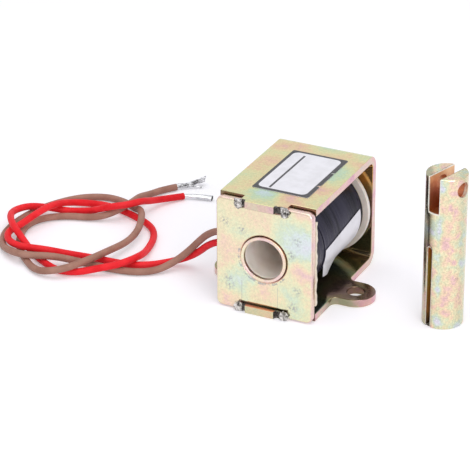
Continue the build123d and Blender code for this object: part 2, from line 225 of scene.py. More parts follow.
def piece(name, shape, body, finishes, crease=35):
    """Turn a shape in millimetres into a piece that rides on a body."""
    bmesh.ops.recalc_face_normals(shape, faces=shape.faces)
    bmesh.ops.scale(shape, vec=(MM, MM, MM), verts=shape.verts)
    mesh = bpy.data.meshes.new(name)
    shape.to_mesh(mesh)
    shape.free()
    mesh.shade_smooth()
    mesh.set_sharp_from_angle(angle=math.radians(crease))
    for finish in finishes:
        mesh.materials.append(finish)
    obj = bpy.data.objects.new(name, mesh)
    bpy.context.scene.collection.objects.link(obj)
    even = obj.modifiers.new("even_faces", "WEIGHTED_NORMAL")
    even.keep_sharp = True
    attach(obj, body)
    return obj


def node_group(name, inputs, outputs):
    group = bpy.data.node_groups.new(name, "ShaderNodeTree")
    for label, kind, value in inputs:
        socket = group.interface.new_socket(label, in_out="INPUT", socket_type=kind)
        socket.default_value = value
    for label, kind in outputs:
        group.interface.new_socket(label, in_out="OUTPUT", socket_type=kind)
    return group, group.nodes.new("NodeGroupInput"), group.nodes.new("NodeGroupOutput")


def maths(tree, operation, *values, clamp=False):
    node = tree.nodes.new("ShaderNodeMath")
    node.operation = operation
    node.use_clamp = clamp
    for socket, value in zip(node.inputs, values):
        if isinstance(value, (int, float)):
            socket.default_value = value
        else:
            link(tree, value, socket)
    return node.outputs[0]


def blend_colour(tree, share, first, second, kind="MIX"):
    node = tree.nodes.new("ShaderNodeMix")
    node.data_type = "RGBA"
    node.blend_type = kind
    for socket, value in zip((node.inputs[0], node.inputs[6], node.inputs[7]), (share, first, second)):
        if isinstance(value, (int, float)):
            socket.default_value = value
        elif isinstance(value, tuple):
            socket.default_value = (*value, 1)
        else:
            link(tree, value, socket)
    return node.outputs[2]


def colour_ramp(tree, source, stops):
    ramp = tree.nodes.new("ShaderNodeValToRGB")
    while len(ramp.color_ramp.elements) < len(stops):
        ramp.color_ramp.elements.new(0.5)
    for element, (place, colour) in zip(ramp.color_ramp.elements, stops):
        element.position = place
        element.color = (*colour, 1)
    link(tree, source, ramp.inputs["Fac"])
    return ramp.outputs["Color"]


def cloud(tree, scale, detail=2.0, rough=0.5, stretch=(1, 1, 1), offset=None):
    """Noise over the piece's own coordinates, with its patches about 1/scale metres across."""
    where = tree.nodes.new("ShaderNodeTexCoord")
    place = tree.nodes.new("ShaderNodeMapping")
    place.inputs["Scale"].default_value = stretch
    link(tree, where.outputs["Object"], place.inputs["Vector"])
    tex = tree.nodes.new("ShaderNodeTexNoise")
    tex.inputs["Detail"].default_value = detail
    tex.inputs["Roughness"].default_value = rough
    if isinstance(scale, (int, float)):
        tex.inputs["Scale"].default_value = scale
    else:
        link(tree, scale, tex.inputs["Scale"])
    if offset is not None:
        link(tree, offset, place.inputs["Location"])
    link(tree, place.outputs[0], tex.inputs["Vector"])
    return tex.outputs["Fac"]


def principled(tree, out, **values):
    """Principled surface with its plain values set on its own sockets."""
    shader = tree.nodes.new("ShaderNodeBsdfPrincipled")
    for key, value in values.items():
        shader.inputs[key.replace("_", " ")].default_value = value
    link(tree, shader.outputs[0], out.inputs["Surface"])
    return shader


def relief(tree, shader, height, strength, distance):
    bump = tree.nodes.new("ShaderNodeBump")
    bump.inputs["Strength"].default_value = strength
    bump.inputs["Distance"].default_value = distance
    link(tree, height, bump.inputs["Height"])
    link(tree, bump.outputs[0], shader.inputs["Normal"])


# The chromate film shows soft patches of pink, gold, green and pale blue, as thin films do.
chromate, start, end = node_group(
    "chromate_film",
    [("Patches", "NodeSocketFloat", 130.0), ("Place", "NodeSocketVector", (0, 0, 0)),
     ("Tone", "NodeSocketFloat", 0.0), ("Swing", "NodeSocketFloat", 1.0),
     ("Veil", "NodeSocketFloat", 0.2), ("Veil colour", "NodeSocketColor", (0.92, 0.88, 0.80, 1)),
     ("Least roughness", "NodeSocketFloat", 0.12), ("Grain", "NodeSocketFloat", 0.10)],
    [("Color", "NodeSocketColor"), ("Roughness", "NodeSocketFloat"), ("Height", "NodeSocketFloat")],
)
broad = cloud(chromate, start.outputs["Patches"], 2.0, 0.45, offset=start.outputs["Place"])
fine = cloud(chromate, 1200, 3.0, 0.6)
grain = cloud(chromate, 5200, 2.0, 0.5)
swing = maths(chromate, "MULTIPLY", maths(chromate, "SUBTRACT", broad, 0.5), start.outputs["Swing"])
mottle = maths(chromate, "MULTIPLY", maths(chromate, "SUBTRACT", fine, 0.5), 0.22)
hue = maths(chromate, "ADD", maths(chromate, "ADD", swing, mottle), start.outputs["Tone"])
film = colour_ramp(chromate, maths(chromate, "ADD", hue, 0.5), [
    (0.05, (0.62, 0.10, 0.07)), (0.18, (0.48, 0.20, 0.19)), (0.30, (0.74, 0.40, 0.40)), (0.40, (0.80, 0.54, 0.32)),
    (0.48, (0.76, 0.66, 0.33)), (0.57, (0.66, 0.69, 0.36)), (0.66, (0.50, 0.67, 0.44)),
    (0.76, (0.52, 0.67, 0.66)), (0.88, (0.62, 0.66, 0.78)),
])
pale = blend_colour(chromate, start.outputs["Veil"], film, start.outputs["Veil colour"])
specks = maths(chromate, "GREATER_THAN", cloud(chromate, 2600, 2.0, 0.6), 0.68)
speckled = blend_colour(chromate, maths(chromate, "MULTIPLY", specks, 0.22), pale, (0.30, 0.26, 0.24))
sand = maths(chromate, "SUBTRACT", cloud(chromate, 2200, 2.0, 0.65), 0.5)
shade = maths(chromate, "MULTIPLY_ADD", maths(chromate, "MULTIPLY", sand, start.outputs["Grain"]), 4.0, 1.0)
link(chromate, blend_colour(chromate, 1.0, speckled, shade, "MULTIPLY"), end.inputs["Color"])
link(chromate, maths(chromate, "MULTIPLY_ADD", fine, 0.20, start.outputs["Least roughness"]), end.inputs["Roughness"])
link(chromate, maths(chromate, "MULTIPLY_ADD", grain, 0.5, fine), end.inputs["Height"])


# A pool is a place where the dip dried thicker or thinner, so that the film's hue drifts there. The same fading mask
# also places the painted reflections.
pool, start, end = node_group(
    "film_pool_and_painted_light_mask",
    [("Place", "NodeSocketVector", (0, 0, 0)), ("Reach", "NodeSocketFloat", 0.004), ("Shift", "NodeSocketFloat", 0.1)],
    [("Tone", "NodeSocketFloat")],
)
where = pool.nodes.new("ShaderNodeTexCoord")
ragged = pool.nodes.new("ShaderNodeTexNoise")
ragged.inputs["Scale"].default_value = 260
link(pool, where.outputs["Object"], ragged.inputs["Vector"])
drift = pool.nodes.new("ShaderNodeVectorMath")
drift.operation = "MULTIPLY_ADD"
drift.inputs[1].default_value = (0.006, 0.006, 0.006)
link(pool, ragged.outputs["Color"], drift.inputs[0])
link(pool, where.outputs["Object"], drift.inputs[2])
centre = pool.nodes.new("ShaderNodeVectorMath")
centre.operation = "ADD"
centre.inputs[1].default_value = (0.003, 0.003, 0.003)
link(pool, start.outputs["Place"], centre.inputs[0])
away = pool.nodes.new("ShaderNodeVectorMath")
away.operation = "DISTANCE"
link(pool, drift.outputs[0], away.inputs[0])
link(pool, centre.outputs[0], away.inputs[1])
near = maths(pool, "SUBTRACT", 1.0, maths(pool, "DIVIDE", away.outputs["Value"], start.outputs["Reach"]), clamp=True)
link(pool, maths(pool, "MULTIPLY", maths(pool, "SMOOTH_MIN", near, 0.7, 0.4), start.outputs["Shift"]), end.inputs["Tone"])

PALE = (0.92, 0.88, 0.80)


def pooled(tree, spot, reach, shift):
    """Drift of hue, or a mask, that fades away from a place."""
    node = tree.nodes.new("ShaderNodeGroup")
    node.node_tree = pool
    node.inputs["Place"].default_value = [value * MM for value in spot]
    node.inputs["Reach"].default_value = reach * MM
    node.inputs["Shift"].default_value = shift
    return node.outputs["Tone"]


def plated(name, tone, swing, veil, veil_colour=PALE, patches=130.0, place=(0, 0, 0), metal=0.95, rough=0.12, pools=(), grain=0.10):
    """Plated steel with the chromate film, and the nodes that a piece may add to."""
    mat, tree, out = material(name)
    film = tree.nodes.new("ShaderNodeGroup")
    film.node_tree = chromate
    film.inputs["Patches"].default_value = patches
    film.inputs["Place"].default_value = place
    film.inputs["Tone"].default_value = tone
    film.inputs["Least roughness"].default_value = rough
    film.inputs["Grain"].default_value = grain
    total = tone
    for spot, reach, shift in pools:
        total = maths(tree, "ADD", total, pooled(tree, spot, reach, shift))
    if pools:
        link(tree, total, film.inputs["Tone"])
    film.inputs["Swing"].default_value = swing
    film.inputs["Veil"].default_value = veil
    film.inputs["Veil colour"].default_value = (*veil_colour, 1)
    shader = principled(tree, out, Metallic=metal)
    link(tree, film.outputs["Color"], shader.inputs["Base Color"])
    link(tree, film.outputs["Roughness"], shader.inputs["Roughness"])
    relief(tree, shader, film.outputs["Height"], 0.25, 0.00004)
    return mat, tree, shader, film


def with_painted_reflection(finish, spot, reach, share, colour):
    """Finish with a reflection painted round a place."""
    mat, tree, shader, film = finish
    socket = shader.inputs["Base Color"]
    link(tree, blend_colour(tree, pooled(tree, spot, reach, share), socket.links[0].from_socket, colour), socket)
    return finish


def bent(point):
    """Place in the bent frame of a point of the flat blank."""
    u, v, depth = point.x, point.y, SHEET / 2 - point.z
    reach = BEND - depth
    if v < FLAT:
        return Vector((u, FRONT + v, depth))
    v -= FLAT
    if v < ARC:
        turn = v / BEND
        return Vector((u, REAR - BEND + reach * math.sin(turn), BEND - reach * math.cos(turn)))
    v -= ARC
    if v < UPRIGHT:
        return Vector((u, REAR - depth, BEND + v))
    v -= UPRIGHT
    if v < ARC:
        turn = v / BEND
        return Vector((u, REAR - BEND + reach * math.cos(turn), HEIGHT - BEND + reach * math.sin(turn)))
    return Vector((u, REAR - BEND - (v - ARC), HEIGHT - depth))


# Each end's tab: place across, and reach beyond the strip's end, from its right side to its left.
# The chisel's two grooves part a lobe at each side from the middle.
TAB = [
    (6.0, -END_GAP), (6.0, 2.02), (6.3, 2.08), (6.4, 2.4), (5.9, 2.6), (4.7, 2.65), (4.45, 2.35), (4.1, 2.08),
    (3.7, 2.02), (3.35, 2.1), (3.1, 2.5), (2.95, 3.0), (-4.55, 3.0), (-4.75, 2.5), (-5.0, 2.1), (-5.3, 2.15),
    (-5.55, 2.55), (-6.6, 2.65), (-7.5, 2.5), (-7.7, 2.2), (-7.4, 2.05), (-6.0, 2.02), (-6.0, -END_GAP),
]
ear_v = -FRONT
low_corner = (HALF_WIDTH + EAR_FILLET, ear_v - EAR_R - EAR_FILLET)
high_corner = (HALF_WIDTH + EAR_FILLET, ear_v + EAR_R + EAR_FILLET)
ear_side = arc(low_corner, EAR_FILLET, 180, 90, 6)
ear_side += arc((EAR_X, ear_v), EAR_R, -90, 90, 24)
ear_side += arc(high_corner, EAR_FILLET, 270, 180, 6)
outline = [(u, -reach) for u, reach in reversed(TAB)]
outline += [(HALF_WIDTH, END_GAP), *ear_side, (HALF_WIDTH, STRIP - END_GAP)]
outline += [(u, STRIP + reach) for u, reach in TAB]
outline += [(-HALF_WIDTH, STRIP - END_GAP), *((-u, v) for u, v in reversed(ear_side)), (-HALF_WIDTH, END_GAP)]
ear_holes = [arc((side * EAR_X, ear_v), EAR_HOLE_R, 0, 350, 35) for side in (-1, 1)]
strip = blank(outline, ear_holes, SHEET, EDGE)
for cut in ((0, -2.0, 0), (0, STRIP + 2.0, 0)):
    bmesh.ops.bisect_plane(
        strip, geom=strip.verts[:] + strip.edges[:] + strip.faces[:], dist=1e-4, plane_co=cut, plane_no=(0, 1, 0),
    )
mark_sides(strip)
mark_tabs(strip)
for bend_start in (FLAT, FLAT + ARC + UPRIGHT):
    for step in range(9):
        bmesh.ops.bisect_plane(
            strip, geom=strip.verts[:] + strip.edges[:] + strip.faces[:], dist=1e-4,
            plane_co=(0, bend_start + ARC * step / 8, 0), plane_no=(0, 1, 0),
        )
for vert in strip.verts:
    vert.co = bent(vert.co)
frame_finish = plated(
    "frame_chromate", 0.03, 0.75, 0.10, patches=110.0, place=(0.01, 0.02, 0.0), pools=[
        ((-9.3, -9.6, 30), 7, -0.13), ((9.6, -8, 30), 8, -0.14), ((-8.5, 6.6, 30), 6, -0.09), ((-1.5, -13, 30), 6, 0.14),
        ((4.0, -15, 30), 5, -0.11), ((-11, -15, 30), 4, -0.13), ((2, 17, 30), 6, 0.08),
    ],
)[0]
edge_film_and_painted_reflection = plated(
    "edge_chromate_and_painted_reflection", -0.08, 0.9, 0.55, veil_colour=(0.68, 0.41, 0.52), patches=300.0, metal=0.9,
)
# Painted reflections on the right ear's sheared side, one dark green and one pink.
edge_film_and_painted_reflection = with_painted_reflection(edge_film_and_painted_reflection, (15.0, -5.5, 1), 6.5, 1.1, (0.20, 0.26, 0.12))
edge_film_and_painted_reflection = with_painted_reflection(edge_film_and_painted_reflection, (20.5, -3.5, 1), 3.5, 0.6, (0.62, 0.30, 0.32))[0]
# The inside faces take a dark olive veil: painted shade and painted dark reflection. Painted reflections on top of it:
# dark on the right ear's top, and orange from the bobbin's flange on the rear wall.
inside_painted_shade_finish = plated(
    "inside_chromate_painted_shade", 0.03, 1.2, 0.66, veil_colour=(0.12, 0.125, 0.06), patches=95.0, metal=0.94, rough=0.05, pools=[
        ((17, 0, 2), 10, -0.45), ((13, -4, 2), 6, -0.35), ((10, 17, 8), 10, -0.20), ((8, -8, 2), 8, 0.08),
    ],
)
inside_painted_shade_finish = with_painted_reflection(inside_painted_shade_finish, (17.5, -0.5, 2), 7.5, 1.0, (0.075, 0.032, 0.034))
inside_painted_shade_finish = with_painted_reflection(inside_painted_shade_finish, (11, 17, 25), 7, 1.3, (0.80, 0.44, 0.13))[0]
low_end_finish = plated("low_end_chromate", 0.06, 0.9, 0.50, veil_colour=(0.58, 0.46, 0.38), patches=260.0)[0]
# A painted red-orange reflection on the low tab's top face.
low_tab_reflection_finish = plated("low_tab_painted_reflection", -0.12, 0.6, 0.55, veil_colour=(0.66, 0.16, 0.05), patches=260.0, metal=0.6)[0]
high_end_finish = plated("high_end_chromate", -0.04, 0.7, 0.60, veil_colour=(0.62, 0.50, 0.49), patches=260.0)[0]
# Painted shade on the ear holes' walls and on the frame's end faces beside the tabs.
gap_shade_finish = plated("gap_painted_shade", -0.10, 0.6, 0.80, veil_colour=(0.09, 0.05, 0.035), patches=300.0)[0]
# Painted shade in the chisel grooves that part each tab's lobes.
chisel_groove_shade, tree, out = material("chisel_groove_painted_shade")
shader = principled(tree, out, Metallic=0.7, Roughness=0.45)
link(tree, colour_ramp(tree, cloud(tree, 1300, 3), [(0.38, (0.04, 0.035, 0.032)), (0.7, (0.30, 0.27, 0.25))]),
     shader.inputs["Base Color"])
torn, tree, out = material("torn_steel")
shader = principled(tree, out, Metallic=0.9)
link(tree, colour_ramp(tree, cloud(tree, 1000, 4, 0.7), [
    (0.36, (0.04, 0.036, 0.034)), (0.47, (0.40, 0.38, 0.36)), (0.60, (0.84, 0.81, 0.78)),
]), shader.inputs["Base Color"])
link(tree, maths(tree, "MULTIPLY_ADD", cloud(tree, 2000, 2), 0.4, 0.15), shader.inputs["Roughness"])
relief(tree, shader, cloud(tree, 2200, 4, 0.7), 0.8, 0.0002)
frame_piece = piece(
    "frame_strip", strip, "solenoid",
    [frame_finish, edge_film_and_painted_reflection, inside_painted_shade_finish, chisel_groove_shade, low_end_finish, low_tab_reflection_finish, torn, gap_shade_finish,
     high_end_finish],
)
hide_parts("c_frame")


# Fixed pole: a turned steel stub in the rear of the bore, its spigot riveted over behind the
# frame. A copper shading ring is pressed in its face.
def turned(profile, steps=72):
    """Ring or plug turned about the bore's axis from a closed profile of (y, radius)."""
    shape = bmesh.new()
    rings = []
    for y, r in profile:
        if r < 1e-6:
            rings.append([shape.verts.new((0, y, AXIS_Z))] * steps)
            continue
        rings.append([
            shape.verts.new((r * math.sin(2 * math.pi * i / steps), y, AXIS_Z + r * math.cos(2 * math.pi * i / steps)))
            for i in range(steps)
        ])
    for ring, following in zip(rings, rings[1:] + rings[:1]):
        for i in range(steps):
            j = (i + 1) % steps
            corners = []
            for vert in (ring[i], ring[j], following[j], following[i]):
                if vert not in corners:
                    corners.append(vert)
            if len(corners) > 2:
                shape.faces.new(corners)
    return shape


def eased(points, radius, steps=3):
    """Closed profile with its corners rounded over, none by more than a third of a side."""
    smooth = []
    for i, here in enumerate(points):
        before = Vector(points[i - 1])
        after = Vector(points[(i + 1) % len(points)])
        here = Vector(here)
        if here.y < 1e-6 or radius == 0:
            smooth.append(tuple(here))
            continue
        back = before - here
        on = after - here
        a = here + back.normalized() * min(radius, back.length / 3)
        b = here + on.normalized() * min(radius, on.length / 3)
        for k in range(steps + 1):
            t = k / steps
            smooth.append(tuple(a * (1 - t) ** 2 + here * 2 * t * (1 - t) + b * t ** 2))
    return smooth


pole_low, pole_high = (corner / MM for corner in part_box("fixed_pole"))
ring_low, ring_high = (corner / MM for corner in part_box("shading_ring"))
POLE_R = pole_high.x
SPIGOT_R = 3.0
RIVET_R = 3.8
RING_R = (3.2, 4.0)
wall = REAR - SHEET
pole = turned(eased([
    (pole_low.y, 0), (pole_low.y, RING_R[0]), (ring_high.y, RING_R[0]), (ring_high.y, RING_R[1]),
    (pole_low.y, RING_R[1]), (pole_low.y, POLE_R), (wall, POLE_R), (wall, SPIGOT_R), (REAR, SPIGOT_R),
    (REAR, RIVET_R), (REAR + 0.35, RIVET_R - 0.1), (pole_high.y, 2.4), (pole_high.y - 0.12, 1.2),
    (pole_high.y - 0.15, 0),
], 0.15))
steel, tree, out = material("pole_steel")
shader = principled(tree, out, Metallic=1.0, Roughness=0.34)
link(tree, colour_ramp(tree, cloud(tree, 900, 3), [(0.3, (0.36, 0.35, 0.34)), (0.7, (0.62, 0.60, 0.57))]),
     shader.inputs["Base Color"])
relief(tree, shader, cloud(tree, 3000, 2), 0.4, 0.00003)
pole_piece = piece("pole_stub", pole, "solenoid", [steel])
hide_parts("fixed_pole")

copper, tree, out = material("ring_copper")
shader = principled(tree, out, Metallic=1.0, Roughness=0.32)
link(tree, colour_ramp(tree, cloud(tree, 1400, 3), [(0.3, (0.55, 0.20, 0.10)), (0.7, (0.86, 0.42, 0.26))]),
     shader.inputs["Base Color"])
relief(tree, shader, cloud(tree, 200, 2, stretch=(0.2, 30, 0.2)), 0.5, 0.00004)
for node in ("shading_ring", "winding"):
    NODES[node].data.materials.clear()
    NODES[node].data.materials.append(copper)


# Bobbin: moulded in a cream nylon, a thin guide tube with a round flange at each end.
# A fibre washer behind it takes up its slack against the frame.
bobbin_low, bobbin_high = (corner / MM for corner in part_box("bobbin"))
winding_low, winding_high = (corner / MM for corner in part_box("winding"))
TUBE_R = (5.2, 6.2)
FRONT_FLANGE_R = 12.0
LINER_R = (5.1, 5.3)
LINER_FRONT = FRONT - 1.3
spool = turned(eased([
    (bobbin_high.y, TUBE_R[0]), (FRONT, TUBE_R[0]), (FRONT, LINER_R[0]), (LINER_FRONT, LINER_R[0]),
    (LINER_FRONT, LINER_R[1]), (bobbin_low.y, LINER_R[1]), (bobbin_low.y, FRONT_FLANGE_R), (winding_low.y, FRONT_FLANGE_R),
    (winding_low.y, TUBE_R[1]), (winding_high.y, TUBE_R[1]), (winding_high.y, bobbin_high.x),
    (bobbin_high.y, bobbin_high.x),
], 0.2), steps=120)
nylon, tree, out = material("cream_nylon")
shader = principled(tree, out, Roughness=0.42, Subsurface_Weight=0.12, Subsurface_Scale=0.001)
link(tree, colour_ramp(tree, cloud(tree, 240, 4, 0.6), [(0.3, (0.80, 0.71, 0.63)), (0.65, (0.93, 0.86, 0.80))]),
     shader.inputs["Base Color"])
relief(tree, shader, cloud(tree, 1500, 3), 0.3, 0.00005)
spool_piece = piece("spool", spool, "solenoid", [nylon])
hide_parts("bobbin")

fibre, tree, out = material("fibre_board")
shader = principled(tree, out, Roughness=0.8)
link(tree, colour_ramp(tree, cloud(tree, 1800, 4, 0.7), [(0.3, (0.20, 0.09, 0.05)), (0.7, (0.34, 0.17, 0.10))]),
     shader.inputs["Base Color"])
relief(tree, shader, cloud(tree, 3500, 3), 0.6, 0.00008)
NODES["rear_washer"].data.materials.clear()
NODES["rear_washer"].data.materials.append(fibre)


# Coil wrapping: a clear film over the copper, then two bands of glossy black tape, the wide one
# at the rear. The tape is pulled tight, so fine streaks run round it.
tape_low, tape_high = (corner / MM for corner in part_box("coil_tape"))
nose_low, nose_high = (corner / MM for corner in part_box("coil_tape_front"))
film_low, film_high = (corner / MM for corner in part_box("coil_film"))
film_r = film_high.x


def wrapped(y0, y1, outer, ripple, seed):
    """Band of tape from y0 to y1, a little uneven round and along."""
    rows = 26
    profile = [(y0, film_r + 0.05), (y0, outer - 0.06), (y0 + 0.06, outer)]
    profile += [(y0 + (y1 - y0) * k / rows, outer) for k in range(1, rows)]
    profile += [(y1 - 0.06, outer), (y1, outer - 0.06), (y1, film_r + 0.05)]
    shape = turned(profile, steps=144)
    for vert in shape.verts:
        out = Vector((vert.co.x, 0, vert.co.z - AXIS_Z))
        if out.length < film_r + 0.1:
            continue
        turn = math.atan2(vert.co.x, vert.co.z - AXIS_Z)
        lift = noise.noise(Vector((math.cos(turn), math.sin(turn), vert.co.y * 0.9 + seed)))
        vert.co -= out.normalized() * ripple * (0.5 + 0.5 * lift)
    return shape


tape, tree, out = material("black_tape")
shader = principled(tree, out, Specular_IOR_Level=0.17, Specular_Tint=(0.62, 0.55, 1.0, 1))
pulls = cloud(tree, 210, 3, 0.6, stretch=(0.16, 1.0, 0.16))
link(tree, colour_ramp(tree, pulls, [(0.42, (0.003, 0.003, 0.004)), (0.60, (0.026, 0.024, 0.042))]), shader.inputs["Base Color"])
streaks = cloud(tree, 700, 4, 0.65, stretch=(0.10, 1.0, 0.10))
patches = cloud(tree, 160, 2)
link(tree, maths(tree, "MULTIPLY_ADD", streaks, 0.34, maths(tree, "MULTIPLY", patches, 0.18)),
     shader.inputs["Roughness"])
relief(tree, shader, streaks, 0.8, 0.00014)
wide = piece("wide_tape", wrapped(tape_low.y, tape_high.y, tape_high.x, 0.12, 3.0), "solenoid", [tape])
nose = piece("nose_tape", wrapped(nose_low.y, nose_high.y, nose_high.x, 0.10, 9.0), "solenoid", [tape])
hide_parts("coil_tape")
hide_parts("coil_tape_front")

clear, tree, out = material("wrapping_film")
shader = principled(tree, out, Roughness=0.2)
link(tree, colour_ramp(tree, cloud(tree, 500, 3), [(0.3, (0.42, 0.22, 0.08)), (0.7, (0.60, 0.36, 0.14))]),
     shader.inputs["Base Color"])
NODES["coil_film"].data.materials.clear()
NODES["coil_film"].data.materials.append(clear)


# Coil label: a bare strip of white coated paper stuck round the coil's right side, a little
# askew. Its lower front corner is torn short and hangs straight, away from the tape.
STRIP_FRONT = -6.9
STRIP_REAR = 13.7
STRIP_TOP = (0.5, 11.0)
STRIP_SPAN = 49.0
PAPER = 0.1


def coil_strip():
    """Curved strip of paper, as a thin closed shell."""
    shape = bmesh.new()
    columns, rows = 28, 30
    sides = []
    for lift in (0.06, 0.06 + PAPER):
        grid = []
        for i in range(columns + 1):
            along = i / columns
            y = STRIP_FRONT + (STRIP_REAR - STRIP_FRONT) * along
            top = STRIP_TOP[0] + (STRIP_TOP[1] - STRIP_TOP[0]) * along
            held = min(STRIP_SPAN, 20.5 + 46 * along)
            r = tape_high.x + lift
            line = []
            for j in range(rows + 1):
                full = STRIP_SPAN + 7.0 * max(0.0, 1 - abs(along - 0.33) / 0.33)
                span = full * j / rows * (1 - 0.26 * max(0.0, 1 - along / 0.35))
                turn = math.radians(top - min(span, held))
                spot = Vector((r * math.cos(turn), y, AXIS_Z + r * math.sin(turn)))
                loose = math.radians(max(0.0, span - held)) * r
                spot += Vector((math.sin(turn) + 0.32, 0, -math.cos(turn))).normalized() * loose
                line.append(shape.verts.new(spot))
            grid.append(line)
        sides.append(grid)
    for grid in sides:
        for i in range(columns):
            for j in range(rows):
                shape.faces.new((grid[i][j], grid[i + 1][j], grid[i + 1][j + 1], grid[i][j + 1]))
    under, over = sides
    rim = [(i, 0) for i in range(columns)] + [(columns, j) for j in range(rows)]
    rim += [(i, rows) for i in range(columns, 0, -1)] + [(0, j) for j in range(rows, 0, -1)]
    for (a, b), (c, d) in zip(rim, rim[1:] + rim[:1]):
        shape.faces.new((under[a][b], under[c][d], over[c][d], over[a][b]))
    return shape


paper, tree, out = material("label_paper")
shader = principled(tree, out, Roughness=0.38, Coat_Weight=0.15)
link(tree, colour_ramp(tree, cloud(tree, 300, 3), [(0.35, (0.78, 0.77, 0.82)), (0.6, (0.86, 0.85, 0.91))]),
     shader.inputs["Base Color"])
relief(tree, shader, cloud(tree, 900, 3), 0.25, 0.00005)
strip_piece = piece("coil_strip", coil_strip(), "solenoid", [paper])
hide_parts("coil_label")


# Top label: white coated paper on the frame's top, with a printed dark border, torn at two
# places on its right, and one rule. The rest of its face is bare.
LABEL_AT = (1.0, 0.95)
LABEL_TURN = math.radians(-0.6)
LABEL_W = 14.8
LABEL_L = 23.4
BORDER = 0.8
BORDER_FRONT = 1.1
BORDER_RIGHT = 1.2


def rounded_box(x0, y0, x1, y1, radius, steps=5):
    return (
        arc((x1 - radius, y1 - radius), radius, 0, 90, steps) + arc((x0 + radius, y1 - radius), radius, 90, 180, steps)
        + arc((x0 + radius, y0 + radius), radius, 180, 270, steps)
        + arc((x1 - radius, y0 + radius), radius, 270, 360, steps)
    )


def on_top(shape, z):
    """Lay a flat shape on the frame's top, turned as the label is."""
    bmesh.ops.rotate(shape, cent=(0, 0, 0), matrix=Matrix.Rotation(LABEL_TURN, 3, "Z"), verts=shape.verts)
    bmesh.ops.translate(shape, vec=(*LABEL_AT, z), verts=shape.verts)
    return shape


half_w, half_l = LABEL_W / 2, LABEL_L / 2
corners = rounded_box(-half_w, -half_l, half_w, half_l, 0.5)
label_edge = corners + [
    (half_w, -5.1), (half_w - 0.5, -4.8), (half_w - 1.1, -4.7), (half_w - 0.6, -4.4), (half_w, -4.1),
    (half_w, 3.1), (half_w - 0.5, 3.3), (half_w - 1.0, 3.45), (half_w - 0.5, 3.6), (half_w, 3.7),
]
inner = rounded_box(-half_w + BORDER, -half_l + BORDER_FRONT, half_w - BORDER_RIGHT, half_l - BORDER, 1.5)
label_piece = piece("top_paper", on_top(blank(label_edge, [], 0.10, 0.03), HEIGHT + 0.05), "solenoid", [paper])
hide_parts("top_label")
ink, tree, out = material("label_ink")
shader = principled(tree, out, Roughness=0.45)
link(tree, colour_ramp(tree, cloud(tree, 1200, 3), [(0.35, (0.035, 0.035, 0.04)), (0.7, (0.075, 0.07, 0.075))]),
     shader.inputs["Base Color"])
rim = on_top(blank(label_edge, [inner], 0.02, 0.004), HEIGHT + 0.11)
piece("label_border", rim, "solenoid", [ink])
rule = [(-3.65, -10.1), (-3.1, -10.1), (-3.1, 9.6), (-3.65, 9.6)]
piece("label_rule", on_top(blank(rule, [], 0.02, 0.004), HEIGHT + 0.11), "solenoid", [ink])


# Insulating sheet between the pole plate and the bobbin: cream board, cut by hand with shears,
# so its right edge waves a little past the plate.
insulator_low, insulator_high = (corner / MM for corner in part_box("front_insulator"))
COLLAR_HOLE_R = 6.0
wavy = [
    (insulator_high.x + 0.10 * math.sin(0.42 * k) + 0.05 * math.sin(1.1 * k), insulator_low.z + 0.3675 * k)
    for k in range(61)
]
board = blank(
    wavy + [(insulator_low.x, insulator_high.z), (insulator_low.x, insulator_low.z)],
    [arc((0, AXIS_Z), COLLAR_HOLE_R, 0, 352, 44)], insulator_high.y - insulator_low.y, 0.08,
)


def stood_up(shape, y):
    """Stand a flat shape up across the frame's front, its top side facing forward."""
    for vert in shape.verts:
        vert.co = Vector((vert.co.x, y - vert.co.z, vert.co.y))
    return shape


cream, tree, out = material("cream_board")
shader = principled(tree, out, Roughness=0.6)
link(tree, colour_ramp(tree, cloud(tree, 700, 4, 0.6), [(0.3, (0.78, 0.68, 0.52)), (0.7, (0.92, 0.86, 0.74))]),
     shader.inputs["Base Color"])
relief(tree, shader, cloud(tree, 1800, 3), 0.5, 0.0001)
board_piece = piece("insulating_board", stood_up(board, (insulator_low.y + insulator_high.y) / 2), "solenoid",
                    [cream])
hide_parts("front_insulator")


# Pole plate: 2 mm steel, blanked with two notches for the frame's tabs and a hole for the
# collar. The staking tool left clusters of small grey dents and two fine score lines.
NOTCH = 6.05
NOTCH_LOW = 2.4
NOTCH_HIGH = 27.7
CORNER = 1.5
plate_x = plate_high.x
plate_edge = (
    [(NOTCH, plate_low.z), (NOTCH, NOTCH_LOW), (-NOTCH, NOTCH_LOW), (-NOTCH, plate_low.z)][::-1]
    + arc((plate_x - CORNER, plate_low.z + CORNER), CORNER, 270, 360, 6)
    + arc((plate_x - CORNER, plate_high.z - CORNER), CORNER, 0, 90, 6)
    + [(NOTCH, plate_high.z), (NOTCH, NOTCH_HIGH), (-NOTCH, NOTCH_HIGH), (-NOTCH, plate_high.z)]
    + arc((-plate_x + CORNER, plate_high.z - CORNER), CORNER, 90, 180, 6)
    + arc((-plate_x + CORNER, plate_low.z + CORNER), CORNER, 180, 270, 6)
)
plate = blank(plate_edge, [arc((0, AXIS_Z), 6.02, 0, 355, 71)], plate_high.y - plate_low.y, 0.5)
for face in plate.faces:
    if abs(face.normal.z) < 0.9:
        face.material_index = 1
stood_up(plate, (plate_low.y + plate_high.y) / 2)

dents, start, end = node_group(
    "tool_dents",
    [("Place", "NodeSocketVector", (0, 0, 0)), ("Reach", "NodeSocketFloat", 0.0016)],
    [("Mask", "NodeSocketFloat")],
)
where = dents.nodes.new("ShaderNodeTexCoord")
away = dents.nodes.new("ShaderNodeVectorMath")
away.operation = "DISTANCE"
link(dents, where.outputs["Object"], away.inputs[0])
link(dents, start.outputs["Place"], away.inputs[1])
near = maths(dents, "SUBTRACT", 1.0, maths(dents, "DIVIDE", away.outputs["Value"], start.outputs["Reach"]), clamp=True)
crumbs = cloud(dents, 1700, 2.0, 0.7)
hit = maths(dents, "MULTIPLY", maths(dents, "SUBTRACT", crumbs, 0.47), maths(dents, "MULTIPLY", near, 9.0), clamp=True)
link(dents, hit, end.inputs["Mask"])

